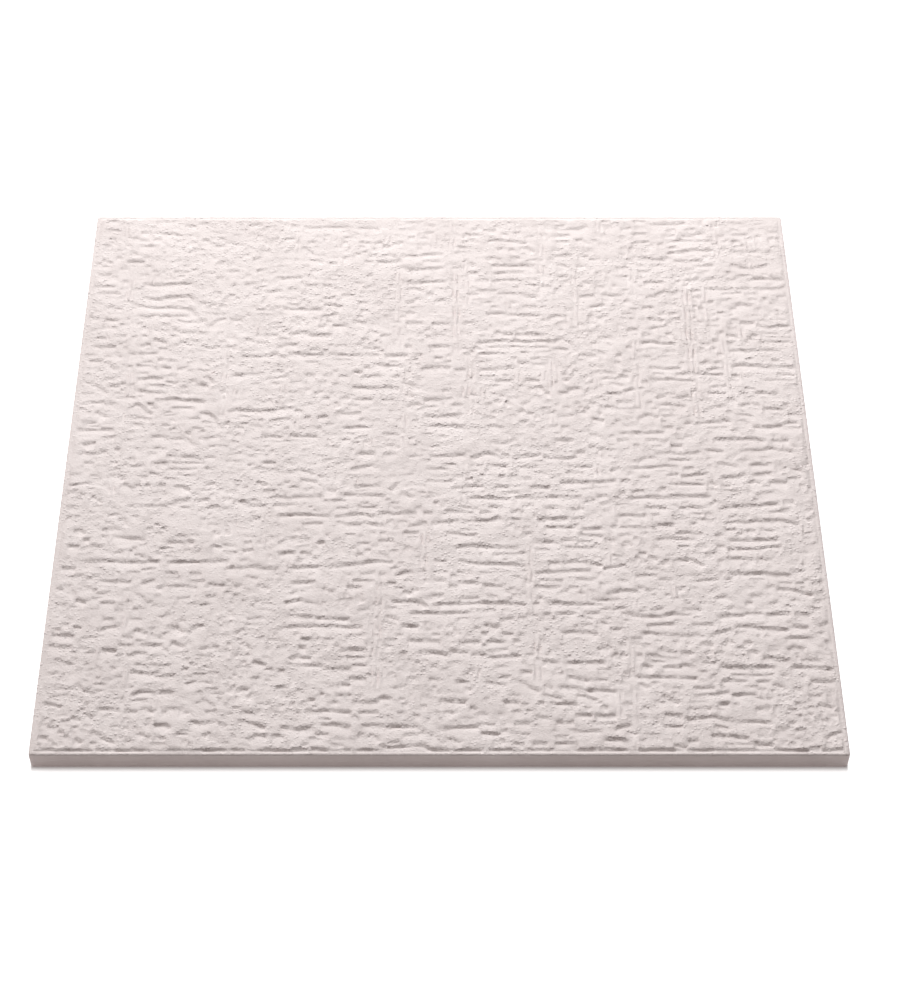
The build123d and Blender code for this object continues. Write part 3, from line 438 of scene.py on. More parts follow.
BACK_RIGHT_MARKS = (
    (4,85,239.8,92,239.8), (6,84.4,235.8,95,236,101.8,235.3,106.7,238.6), (8,84.4,229.5,94.7,229.5),
    (7,85,222,93.6,222), (7,100,223.5,103.4,223.5), (5,112.7,223.3),
    (6,141.6,243.5,145.4,245,149.7,242.4), (7,154,240.7,165,241.3,179,242.6), (5,223.9,245,235.8,245.9),
    (6,226,240.2,235.8,242.6), (4,189,239,191,245.6), (6,194.4,239), (6,200.4,240.2),
    (6,166,235.3,171.5,235.3), (6,228.2,235.6), (8,141,230.5,149.7,230.5), (5,163.4,228.7,170.5,228.7),
    (6,175.9,227.7,182.4,228.2,191.7,232), (5,213,229.3,224,229.3), (7,229.8,228.7,233.7,228.7),
    (6,204.8,228.2), (8,239,226,241.8,226), (8,245,225), (6,237,220.6,238,224.4),
    (8,138.3,220,143.2,221.7,152,222.5), (8,163.4,222.2,174.8,223.3,198.2,223.3), (5,221.7,226,226.6,226),
    (5,212.4,221.7,217.3,221.7), (7,133.4,215), (6,139.4,215), (5,203,214,208.6,214),
    (5,213,216.2,220.6,217.3),
    (9,163.4,209,169.4,210.5,174.8,210.2,181.4,213,184.6,213.5,192.8,213,198.2,211.9),
    (7,209,211,229.3,211,232,212.4), (8,234.7,209.7,238,210.8), (4,82,212.6,87.6,212.6), (5,109.4,212.4),
    (9,82.7,206.8,95,207), (10,100.7,206.3,107,206.3), (7,108,203.5,114.9,203.5),
    (8,118.7,201.5,120.9,203,122.5,201), (8,133.4,202.6,136.7,204.8), (5,129.6,208,133.4,209),
    (6,142,206.4), (8,142,202,145.4,204.8,149.7,204.2,156.3,202,160.6,202,162.8,205.3,168.3,204.8),
    (9,168.8,202,174.8,201,190,201.2), (7,189.5,205.3,192.8,206.4), (5,196.6,205.5,199.9,205.5),
    (7,85.4,197.7,89.8,197,94.2,194.4), (8,98,195.5,105.6,196.6), (5,108.3,194.4),
    (9,126.9,193.3,134.5,194.6), (8,151.4,195.7,158.5,196.6,161.7,197), (8,182.4,196,197,196),
    (9,211.3,197,216.2,193.9,221.7,193.3,231.5,195,234.2,197), (7,143,190.3,149.7,190.3),
    (5,189.5,190,193.3,190), (4,159,188.4), (5,114.3,188.4), (6,187.3,187.3), (6,85,184.8,91.4,184.8),
    (6,143.2,183.7), (6,212.4,184,222.8,185.7), (8,87,179.4,92.5,179.4),
    (7,102.9,179,106,178.6,108.9,176.4), (7,113,174.8,118,172.6), (6,122.5,173,124,174.8),
    (8,145.4,178,150.8,179,160,177.5), (6,170.5,179.7), (9,175.4,181.3,179.7,180.8,185,183.3),
    (8,186.3,180.5,196.6,182.4), (8,205.3,181,212.4,181.3), (9,218.4,181,232.6,182.4,246,181.9),
    (7,173,174,175,177), (8,178.6,168.3,184.6,170.4), (10,190,172.6,194.4,171.5,204,171.8,209.7,172.8),
    (5,212,171.8,222.8,172), (9,223.9,171.5,230.4,172.4,240,172,246,174.3), (6,200.4,166.6,215,168),
    (5,217.3,166.8,226.6,166.8), (7,84.4,171.3), (5,82,167.7), (9,99.6,163.4,110,164.4),
    (8,114.3,164.4,118,166,123.6,164,131.2,165),
    (8,147.6,162.8,152,162.8,155.2,165.5,160.6,169,165,166,170.5,169), (6,240,164,245.6,164),
    (6,183,162.8), (8,192.3,158), (5,116,159.5,119.2,159.5), (9,124.7,160,128.5,160), (9,132.9,158.7),
    (9,106.7,152,112.7,153.6,116,155.2), (8,204.8,149.7,208.6,151),
    (9,208.6,153.6,214,155.7,216.2,154,222.8,154), (9,222.2,150,226.6,150), (7,145.4,151),
    (8,185.2,151.4), (7,92,150.3), (7,154,144.8,158.5,147), (7,162.3,145.7,167.2,145.7),
    (9,105.6,142.5,109.4,142.5), (7,111,141,117.6,143.2), (8,179.2,141), (7,192.8,144.3),
    (8,147.6,139.7,154,139.4,158.5,137.8), (9,163.4,140,169.4,140), (6,161.7,136),
    (6,205.9,138.3,210,138.3), (9,210.8,135.6,221.7,136), (9,225,134,229.3,131.2,241.3,132.5,246,131.2),
    (7,99.6,135), (5,80.5,133.5,86.5,133.5), (6,119,138), (6,135.6,140), (8,131.2,129,139.4,130),
    (8,148,130.7,152,130.7), (5,153,131,161.7,133.4), (6,203,130.7,208.6,130.7), (6,111,128.5),
    (4,106,127), (8,158.5,123.6,161.2,125.2), (9,197,125.2), (7,245,125.8), (5,226,125.4,238,125.4),
    (7,111.6,121.4,120.3,122), (7,201.5,123,206.4,122.5,210.8,119.8), (7,216.2,119.3,220.6,119.3),
    (6,219,123,222.8,122.5), (7,88.7,119.8,93,114.9,98.5,105),
    (9,140,116,147.6,116.5,154,114.3,165,114.9), (8,108.3,116.5), (6,132.3,111.6),
    (7,201.5,115.5,205.3,115.5), (7,214.6,116.5), (9,223.3,116.5,246,116.5), (9,192.8,117.3),
    (8,185.2,114.9,189,113.2), (6,191.2,110.5), (9,201,107,210.8,107.8,220.6,108.3,238,108),
    (4,145.4,109.4,155,109.4), (7,156.3,106.6,164.5,106.6), (10,99,104,102.9,102,110,103.4),
    (6,109.4,107.8,117,104.5), (6,124.7,102.9), (6,192.3,103.4,195.5,105), (7,143.2,101.7,146.5,101.7),
    (5,152,101.4,160.6,101.4), (6,148.5,98.7), (8,231,97.8,235.8,97.8), (8,179.7,94.7,184.6,97.4),
    (5,193.3,95.8), (6,123.6,95.5), (7,104,91.4,107.8,93),
    (9,145.4,89.8,149.7,90.3,156.3,89.3,160.6,89.8,167.2,89.8), (6,185.2,88.7,195,90),
    (10,201.5,90.9,206.4,92.5,219.5,92.5,227,91.4,238,91.4,246,90), (9,105.6,86,108.3,87,113.2,86.5),
    (7,118,86), (6,128,86,132.3,86), (9,177.5,84.3,180,86.5,183.5,83.8,196.6,83.3), (5,235.8,85),
)

# Marks right behind the front rim: weight, then x from and to in mm.
FRONT_RIM_MARKS = (
    (7,-242,-235), (8,-226,-212), (10,-209,-176), (10,-145,-130), (8,-126,-119), (10,-110,-80),
    (9,-78,-68), (8,-60,-54), (7,-50,-40), (9,-6,6), (8,9.5,26.3), (7,30.8,39.8), (7,41,44), (8,52,70),
    (9,83.5,95.3), (9,97.5,115), (10,121.6,145), (9,155.6,167.6), (9,176.4,195), (9,203.8,225.7),
    (6,232.8,246),
)

# Upright creases as read: strength from 1 to 3, then x and y at each end in mm.
UPRIGHT_CREASES = (
    (1,-228,240,-228,215), (1,-219.5,200,-219.5,120), (1,-213.5,110,-213.5,30), (1,-214,-160,-214,-210),
    (1,-202,140,-202,110), (1,-199,-100,-199,-160), (1,-195.5,-150,-195.5,-240), (1,-196,105,-196,85),
    (1,-183,-50,-183,-75), (1,-154.6,245,-154.6,230), (1,-147.5,120,-147.5,30), (1,-140.4,245,-140.4,225),
    (1,-134,-40,-134,-75), (1,-123,225,-123,205), (1,-120,-160,-120,-190), (1,-113.5,-40,-113.5,-90),
    (1,-103,230,-103,200), (1,-90,-190,-90,-200), (3,-38,-108,-41,-204), (1,-44.7,178,-44.7,160),
    (1,-29,200,-29,110), (1,-24.5,100,-24.5,5), (2,-9.7,-55,-9.7,-108), (1,-6,-191,-6,-200),
    (1,9.2,245,9.2,205), (1,12,200,12,100), (2,12,185,12,125), (1,19.6,200,19.6,150), (2,22,105,22,40),
    (1,31,80,31,35), (2,24,-179,20.7,-198), (1,54,100,54,65), (1,58.3,-75,58.3,-150), (2,62,-150,62,-196),
    (1,73.6,235,73.6,160), (1,77,100,77,60), (1,80,110,80,60), (1,97,200,97,130), (1,107.5,82,107.5,60),
    (1,110,-65,111,-95), (1,111,-168,111,-192), (1,116.5,245,116.5,228), (1,123,245,123,228),
    (1,121.5,-160,121.5,-230), (1,135,215,137,160), (1,136,120,136,40), (1,151.7,-105,151.7,-130),
    (3,175.6,179,175.6,83), (2,175.6,90,175.6,40), (1,188.3,180,188.3,135), (1,180,-10,184,-60),
    (1,196.7,130,200.6,50), (1,200.6,245,200.6,200), (1,234,205,234,195),
)

# Places left smooth, as x from, x to, y from and y to in mm.
SMOOTH_PLACES = (
    (-98,-80,108,119), (-45,-25,182,198), (-20,-10,182,190), (-12,20,62,88), (5,45,8,32), (0,30,140,156),
    (60,75,82,92), (-180,-160,-62,-45), (-158,-145,-80,-62), (-170,-150,60,70), (-25,-15,-90,-75),
    (30,55,-75,-62), (20,40,-200,-182), (100,115,-170,-150),
)


class FoamSurface(Enum):
    """The three surfaces of the tile, in the order of its material slots."""

    FACE = 0
    CUT_EDGE = 1
    BACK = 2


class FillMark(Enum):
    """Small marks strewn between those that were read: shortest and longest in mm, and places tried.

    They are strewn in this order, and crumbs only lie in the two front corners, where the face is broken.
    """

    DASH = (4.0, 9.0, 2600)
    OBLIQUE = (3.0, 6.5, 900)
    DAB = (1.5, 3.0, 4200)
    CRUMB = (1.5, 3.0, 700)


@dataclass(frozen=True)
class MarkShape:
    """The shape of a pressed mark: a wall that faces the front, and a floor that rises back to the land.

    Lengths are in mm. A weight tells how dark a mark is, from 1 to 10.
    """

    depth: float = 1.3
    full_weight: float = 6.2
    uneven_depth: float = 0.12
    front_depth: float = 0.2
    wall_least: float = 1.5
    wall_by_weight: float = 0.12
    wall_curve: float = 1.08
    dab_half: float = 1.6
    end_reach: float = 0.9
    taper_share: float = 0.12
    taper_least: float = 0.9
    taper_most: float = 2.5
    floor_run: float = 10.5
    floor_share: float = 0.78
    foot_fall: float = 1.4
    lip_height: float = 0.013
    lip_width: float = 1.3
    lip_edge: float = 0.4
    ragged_size: float = 0.14
    side_reach: float = 2.5
    front_reach: float = 14.0
    back_reach: float = 4.0

    def wall(self, weight: float) -> float:
        """Returns how far the wall of a mark of this weight runs towards the front."""
        return self.wall_least + self.wall_by_weight * weight

    def taper(self, total: float) -> float:
        """Returns how long the run-out is at each end of a mark of this length."""
        return min(max(self.taper_share * total, self.taper_least), self.taper_most)

    def section(self, s: np.ndarray, wall: float) -> np.ndarray:
        """Works out the share of the full depth across a mark.

        Args:
            s: Distances in front of the wall's upper edge.
            wall: How far the wall runs.

        Returns:
            The share of the depth at each distance.
        """
        slope = (np.clip(s, 0, wall) / wall) ** self.wall_curve
        foot = np.exp(-(s - wall) / self.foot_fall)
        floor = np.clip(1 - (s - wall) / self.floor_run, 0, 1) ** 2
        return np.where(s < wall, slope, (1 - self.floor_share) * foot + self.floor_share * floor)


@dataclass(frozen=True)
class UprightCrease:
    """One upright crease: a smooth band between two ends, with a few low ridges along it.

    Lengths are in mm. The strength runs from 1, faint, to 3.
    """

    strength: float
    x0: float
    y0: float
    x1: float
    y1: float
    half_width: float = 1.4
    width_by_strength: float = 1.1
    end_fade: float = 6.0
    sway: float = 0.5
    sway_length: float = 5.3
    break_share: float = 0.35
    break_length: float = 3.1
    smoothing: float = 0.7
    ridge_pitch: float = 3.5
    ridge_middle: float = 0.5
    ridge_height: float = 0.5
    height_by_strength: float = 0.14

    def add_to(self, ground: np.ndarray, x: np.ndarray, y: np.ndarray) -> None:
        """Puts the crease into the ground.

        Args:
            ground: Heights of the ground, which are changed.
            x: Places of the ground's columns.
            y: Places of the ground's rows.
        """
        low, high = sorted([self.y0, self.y1])
        share = (y - self.y0) / (self.y1 - self.y0)
        middle = self.x0 + (self.x1 - self.x0) * share
        middle = middle + self.sway * np.sin(y / self.sway_length + self.x0)
        fade = np.clip(np.minimum(y - low, high - y) / self.end_fade, 0, 1)
        steady = 1 - self.break_share
        fade = fade * (steady + self.break_share * np.sin(y / self.break_length + 2 * self.x0))
        off = x[None, :] - middle[:, None]
        half = self.half_width + self.width_by_strength * self.strength
        band = fade[:, None] * np.exp(-((off / half) ** 4))
        ridges = np.cos(2 * np.pi * off / self.ridge_pitch) - self.ridge_middle
        ground *= 1 - self.smoothing * band
        ground += (self.ridge_height + self.height_by_strength * self.strength) * ridges * band


@dataclass
class PressedRelief:
    """The heights of the pressed stucco face, worked out on a rectangle of grid lines.

    Lengths are in mm, because the marks were read in mm. A drop is measured down from the tile's full
    thickness, and a distance in from the tile's side.
    """

    side: float
    thickness: float
    rim_width: float = 4.0
    rim_drop: float = 0.6
    rim_slope: float = 0.1
    rim_foot: float = 0.5
    rim_groove_in: float = 2.75
    rim_groove_depth: float = 0.16
    rim_groove_width: float = 0.25
    rim_lines_in: tuple[float, ...] = (4.0, 3.1, 2.75, 2.4, 1.6, 0.8, 0.45, 0.2, 0.05, 0.0)
    rim_marks_out: float = 0.1
    run_on_share: float = 0.8
    run_on_end: float = 1.4
    run_on_fade: float = 2.0
    rim_ragged: float = 0.02
    rim_ragged_end: float = 0.6
    rim_ragged_fade: float = 0.8
    corner_radius: float = 1.8
    edge_round: float = 0.8
    top_gap: float = 0.08
    land_drop: float = 0.3
    floor_drop: float = 2.1
    pitch_x: float = 0.85
    pitch_y: float = 0.62
    cell: float = 2.0
    mark: MarkShape = MarkShape()
    bend_size: float = 0.33
    bend_blur: tuple[float, float] = (5.5, 4.0)
    ragged_blur: tuple[float, float] = (1.5, 1.0)
    fill_margin: float = 1.5
    fill_weights: tuple[float, float] = (1.5, 5.0)
    fill_narrow: float = 0.8
    fill_tilt: float = 0.12
    oblique_tilts: tuple[float, float] = (0.5, 1.2)
    crumbly_x: tuple[float, float] = (190.0, 244.0)
    crumbly_y: tuple[float, float] = (-243.0, -195.0)
    swell_height: float = 0.12
    swell_blur: tuple[float, float] = (9.0, 6.0)
    lump_height: float = 0.11
    lump_blur: tuple[float, float] = (2.6, 1.3)
    lump_steepness: float = 2.2
    lump_shift: float = 0.2
    grit_height: float = 0.09
    grit_blur: tuple[float, float] = (1.1, 0.9)
    grit_steepness: float = 2.0
    calm_share: float = 0.85
    calm_depth: float = 0.5
    loose_creases: int = 190
    loose_x: tuple[float, float] = (-240.0, 240.0)
    loose_y: tuple[float, float] = (-235.0, 240.0)
    loose_lengths: tuple[float, float] = (7.0, 26.0)
    loose_lean: float = 0.06
    loose_strengths: tuple[float, float] = (0.4, 1.8)
    seed: int = 41
    rng: np.random.Generator = field(init=False)
    x: np.ndarray = field(init=False)
    y: np.ndarray = field(init=False)
    drop: np.ndarray = field(init=False)
    lift: np.ndarray = field(init=False)
    bend: np.ndarray = field(init=False)
    ragged: np.ndarray = field(init=False)
    taken: np.ndarray = field(init=False)

    def __post_init__(self) -> None:
        """Sets out the grid lines, the noise that makes marks uneven, and the empty maps."""
        self.rng = np.random.default_rng(self.seed)
        self.x = self.grid_lines(self.pitch_x)
        self.y = self.grid_lines(self.pitch_y)
        self.drop = np.zeros((len(self.y), len(self.x)))
        self.lift = np.zeros_like(self.drop)
        self.bend = self.soft_noise(*self.bend_blur) * self.bend_size
        self.ragged = self.soft_noise(*self.ragged_blur)
        cells = int(self.side / self.cell)
        self.taken = np.zeros((cells, cells), dtype=bool)

    @property
    def face_half(self) -> float:
        """Returns half the tile's side, in mm."""
        return self.side / 2

    @property
    def foot_half(self) -> float:
        """Returns half the width inside the rim, in mm."""
        return self.face_half - self.rim_width

    @property
    def land_half(self) -> float:
        """Returns half the width of the relief, inside the slope that leads to the rim, in mm."""
        return self.foot_half - self.rim_foot

    def face_edge_height(self) -> float:
        """Returns the height at which the rounded edge meets the upright band, in mm."""
        return self.thickness - self.rim_drop - self.rim_slope * self.rim_width - self.edge_round

    def grid_lines(self, pitch: float) -> np.ndarray:
        """Places the grid lines along one direction.

        Args:
            pitch: Distance between two lines on the land, in mm.

        Returns:
            The lines' places, close together over the land and set by the rim's shape outside it.
        """
        steps = int(round(2 * self.land_half / pitch))
        land = np.linspace(-self.land_half, self.land_half, steps + 1)
        rim = self.face_half - np.array(self.rim_lines_in)
        return np.concatenate([-rim[::-1], land, rim])

    def soft_noise(self, across: float, along: float) -> np.ndarray:
        """Makes smooth random ground.

        Args:
            across: Blur length in x, in mm.
            along: Blur length in y, in mm.

        Returns:
            A map with mean 0 and deviation 1.
        """
        plain = self.rng.standard_normal(self.drop.shape)
        fy = np.fft.fftfreq(len(self.y), self.pitch_y)[:, None]
        fx = np.fft.rfftfreq(len(self.x), self.pitch_x)[None, :]
        keep = np.exp(-2 * np.pi**2 * ((fx * across) ** 2 + (fy * along) ** 2))
        soft = np.fft.irfft2(np.fft.rfft2(plain) * keep, s=plain.shape)
        return (soft - soft.mean()) / soft.std()

    def wall_path(self, points: np.ndarray, wall: float) -> np.ndarray:
        """Turns a reading into the path of the wall's upper edge.

        Args:
            points: The path of the wall's middle as rows of x and y.
            wall: How far the wall runs towards the front.

        Returns:
            The path from left to right, a little longer at both ends.
        """
        path = points + np.array([0.0, wall / 2])
        if len(path) == 1:
            path = np.array([path[0] - [self.mark.dab_half, 0], path[0] + [self.mark.dab_half, 0]])
        if path[-1, 0] < path[0, 0]:
            path = path[::-1]
        path = path.copy()
        for end, inner in ((0, 1), (-1, -2)):
            outward = path[end] - path[inner]
            path[end] = path[end] + outward / np.hypot(*outward) * self.mark.end_reach
        return path

    @staticmethod
    def along_path(path: np.ndarray, px: np.ndarray, py: np.ndarray) -> tuple[np.ndarray, np.ndarray, float]:
        """Measures every point of a window from a path.

        Args:
            path: Rows of x and y.
            px: The points' x.
            py: The points' y.

        Returns:
            How far each point is in front of the path, how far along it, and the path's length.
        """
        best = np.full(px.shape, np.inf)
        ahead = np.zeros(px.shape)
        run = np.zeros(px.shape)
        start = 0.0
        for a, b in zip(path[:-1], path[1:]):
            step = b - a
            length = float(np.hypot(*step))
            along = np.clip(((px - a[0]) * step[0] + (py - a[1]) * step[1]) / length**2, 0, 1)
            dx = px - (a[0] + along * step[0])
            dy = py - (a[1] + along * step[1])
            away = np.hypot(dx, dy)
            front = dx * step[1] - dy * step[0] >= 0
            near = away < best
            best = np.where(near, away, best)
            ahead = np.where(near, np.where(front, away, -away), ahead)
            run = np.where(near, start + along * length, run)
            start += length
        return ahead, run, start

    def press(self, weight: float, points: np.ndarray, narrow: float = 1.0) -> None:
        """Presses one mark into the drop map, and raises its lip in the lift map.

        Args:
            weight: How dark the mark is, from 1 to 10.
            points: The path of the wall's middle as rows of x and y, in mm.
            narrow: Share of the usual run of the wall.
        """
        mark = self.mark
        wall = mark.wall(weight) * narrow
        path = self.wall_path(points, wall)
        low = path.min(axis=0) - [mark.side_reach, mark.front_reach]
        high = path.max(axis=0) + [mark.side_reach, mark.back_reach]
        columns = slice(*np.searchsorted(self.x, [low[0], high[0]]))
        rows = slice(*np.searchsorted(self.y, [low[1], high[1]]))
        px, py = np.meshgrid(self.x[columns], self.y[rows])
        if px.size == 0:
            return
        ahead, run, total = self.along_path(path, px, py)
        ends = np.clip(np.minimum(run, total - run) / mark.taper(total), 0, 1)
        ends = ends * (2 - ends)
        ragged = self.ragged[rows, columns]
        share = 1 - mark.front_depth * path[:, 1].mean() / self.face_half
        darkness = float(np.tanh(weight / mark.full_weight))
        depth = mark.depth * darkness * share * ends * (1 + mark.uneven_depth * ragged)
        s = ahead + self.bend[rows, columns] + mark.ragged_size * ragged
        inside = (run > 0) & (run < total)
        down = depth * mark.section(s, wall) * inside
        self.drop[rows, columns] = np.maximum(self.drop[rows, columns], down)
        lip = mark.lip_height * weight * ends * np.exp(-np.abs(s) / mark.lip_width) * inside
        lip = lip * (s < mark.lip_edge)
        self.lift[rows, columns] = np.maximum(self.lift[rows, columns], lip)

    def cells_of(self, places: np.ndarray) -> np.ndarray:
        """Returns the column and row of the coarse cell that each place, in mm, falls in."""
        return ((places + self.face_half) / self.cell).astype(int)

    def take(self, points: np.ndarray, margin: int = 1) -> None:
        """Notes the coarse cells that a mark covers, so that no small mark lands on it.

        Args:
            points: The mark's path as rows of x and y, in mm.
            margin: How many cells beside it are noted too.
        """
        step = 0.75 * self.cell
        for a, b in zip(points, np.roll(points, -1, axis=0)[: max(len(points) - 1, 1)]):
            count = int(np.hypot(*(b - a)) / step) + 2
            for t in np.linspace(0, 1, count):
                cx, cy = self.cells_of(a + (b - a) * t)
                self.taken[cy - margin : cy + 1 + margin, cx - margin : cx + 1 + margin] = True

    def marks(self) -> list[tuple[float, np.ndarray]]:
        """Returns every mark that was read, as its weight and its path."""
        zones = (
            FRONT_LEFT_MARKS + FRONT_MIDDLE_MARKS + FRONT_RIGHT_MARKS
            + MIDDLE_LEFT_MARKS + CENTRE_MARKS + MIDDLE_RIGHT_MARKS
            + BACK_LEFT_MARKS + BACK_MIDDLE_MARKS + BACK_RIGHT_MARKS
        )
        found = [(float(m[0]), np.array(m[1:], dtype=float).reshape(-1, 2)) for m in zones]
        rim_y = -self.land_half - self.rim_marks_out
        for weight, x0, x1 in FRONT_RIM_MARKS:
            found.append((float(weight), np.array([[x0, rim_y], [x1, rim_y]], dtype=float)))
        return found

    def strew(self, kind: FillMark) -> None:
        """Strews small marks of one kind over the places that are still free.

        Args:
            kind: The kind of small mark.
        """
        shortest, longest, count = kind.value
        edge = self.land_half - self.fill_margin
        for _ in range(count):
            cx, cy = self.rng.uniform(-edge, edge, 2)
            if kind is FillMark.CRUMB:
                cx = self.rng.choice([-1, 1]) * self.rng.uniform(*self.crumbly_x)
                cy = self.rng.uniform(*self.crumbly_y)
            length = self.rng.uniform(shortest, longest)
            tilt = self.rng.normal(0, self.fill_tilt)
            if kind is FillMark.OBLIQUE:
                tilt = self.rng.choice([-1, 1]) * self.rng.uniform(*self.oblique_tilts)
            weight = self.rng.uniform(*self.fill_weights)
            if any(a < cx < b and c < cy < d for a, b, c, d in SMOOTH_PLACES):
                continue
            half = length / 2 * np.array([np.cos(tilt), np.sin(tilt)])
            ends = np.array([[cx, cy] - half, [cx, cy] + half])
            cells = self.cells_of(np.vstack([ends, [[cx, cy]]]))
            if self.taken[cells[:, 1], cells[:, 0]].any():
                continue
            self.press(weight, ends, self.fill_narrow)
            self.take(ends, margin=0)

    def strewn_creases(self) -> list[UprightCrease]:
        """Strews short upright creases over the land.

        Returns:
            The creases.
        """
        found = []
        for _ in range(self.loose_creases):
            x = self.rng.uniform(*self.loose_x)
            y = self.rng.uniform(*self.loose_y)
            length = self.rng.uniform(*self.loose_lengths)
            lean = self.rng.normal(0, self.loose_lean) * length
            strength = self.rng.uniform(*self.loose_strengths)
            found.append(UprightCrease(strength, x, y, x + lean, y - length))
        return found

    def rough_ground(self) -> np.ndarray:
        """Makes the uneven land between the marks: wide swells, lumps and grit, then the creases.

        Returns:
            Heights above the land's own, in mm.
        """
        ground = self.swell_height * self.soft_noise(*self.swell_blur)
        lumps = self.soft_noise(*self.lump_blur) - self.lump_shift
        ground += self.lump_height * np.tanh(self.lump_steepness * lumps)
        ground += self.grit_height * np.tanh(self.grit_steepness * self.soft_noise(*self.grit_blur))
        for crease in [UprightCrease(*reading) for reading in UPRIGHT_CREASES] + self.strewn_creases():
            crease.add_to(ground, self.x, self.y)
        return ground * (1 - self.calm_share * np.clip(self.drop / self.calm_depth, 0, 1))

    def heights(self) -> np.ndarray:
        """Works out the height of every grid point.

        Returns:
            Heights in mm, one row for each y line and one column for each x line.
        """
        for weight, path in self.marks():
            self.press(weight, path)
            self.take(path)
        for kind in FillMark:
            self.strew(kind)
        z = self.thickness - self.land_drop + self.rough_ground() + self.lift - self.drop
        return self.add_rim(np.clip(z, self.thickness - self.floor_drop, self.thickness - self.top_gap))

    def add_rim(self, z: np.ndarray) -> np.ndarray:
        """Puts the flat rim and the rounded outer edge round the land.

        Args:
            z: Heights of the land, in mm.

        Returns:
            Heights with the rim and the edge.
        """
        out = np.maximum(np.abs(self.x)[None, :], np.abs(self.y)[:, None])
        inward = self.face_half - out
        flat = self.thickness - self.rim_drop - self.rim_slope * np.clip(out - self.foot_half, 0, None)
        groove = (inward - self.rim_groove_in) / self.rim_groove_width
        flat -= self.rim_groove_depth * np.exp(-(groove**2))
        past = np.clip(self.edge_round - inward, 0, self.edge_round)
        flat -= self.edge_round - np.sqrt(np.maximum(self.edge_round**2 - past**2, 0))
        run_on = np.clip((inward - self.run_on_end) / self.run_on_fade, 0, 1)
        flat -= self.run_on_share * self.drop * run_on
        rough = np.clip((inward - self.rim_ragged_end) / self.rim_ragged_fade, 0, 1)
        flat += self.rim_ragged * self.ragged * rough
        return np.where(out > self.land_half + 0.01, flat, z)


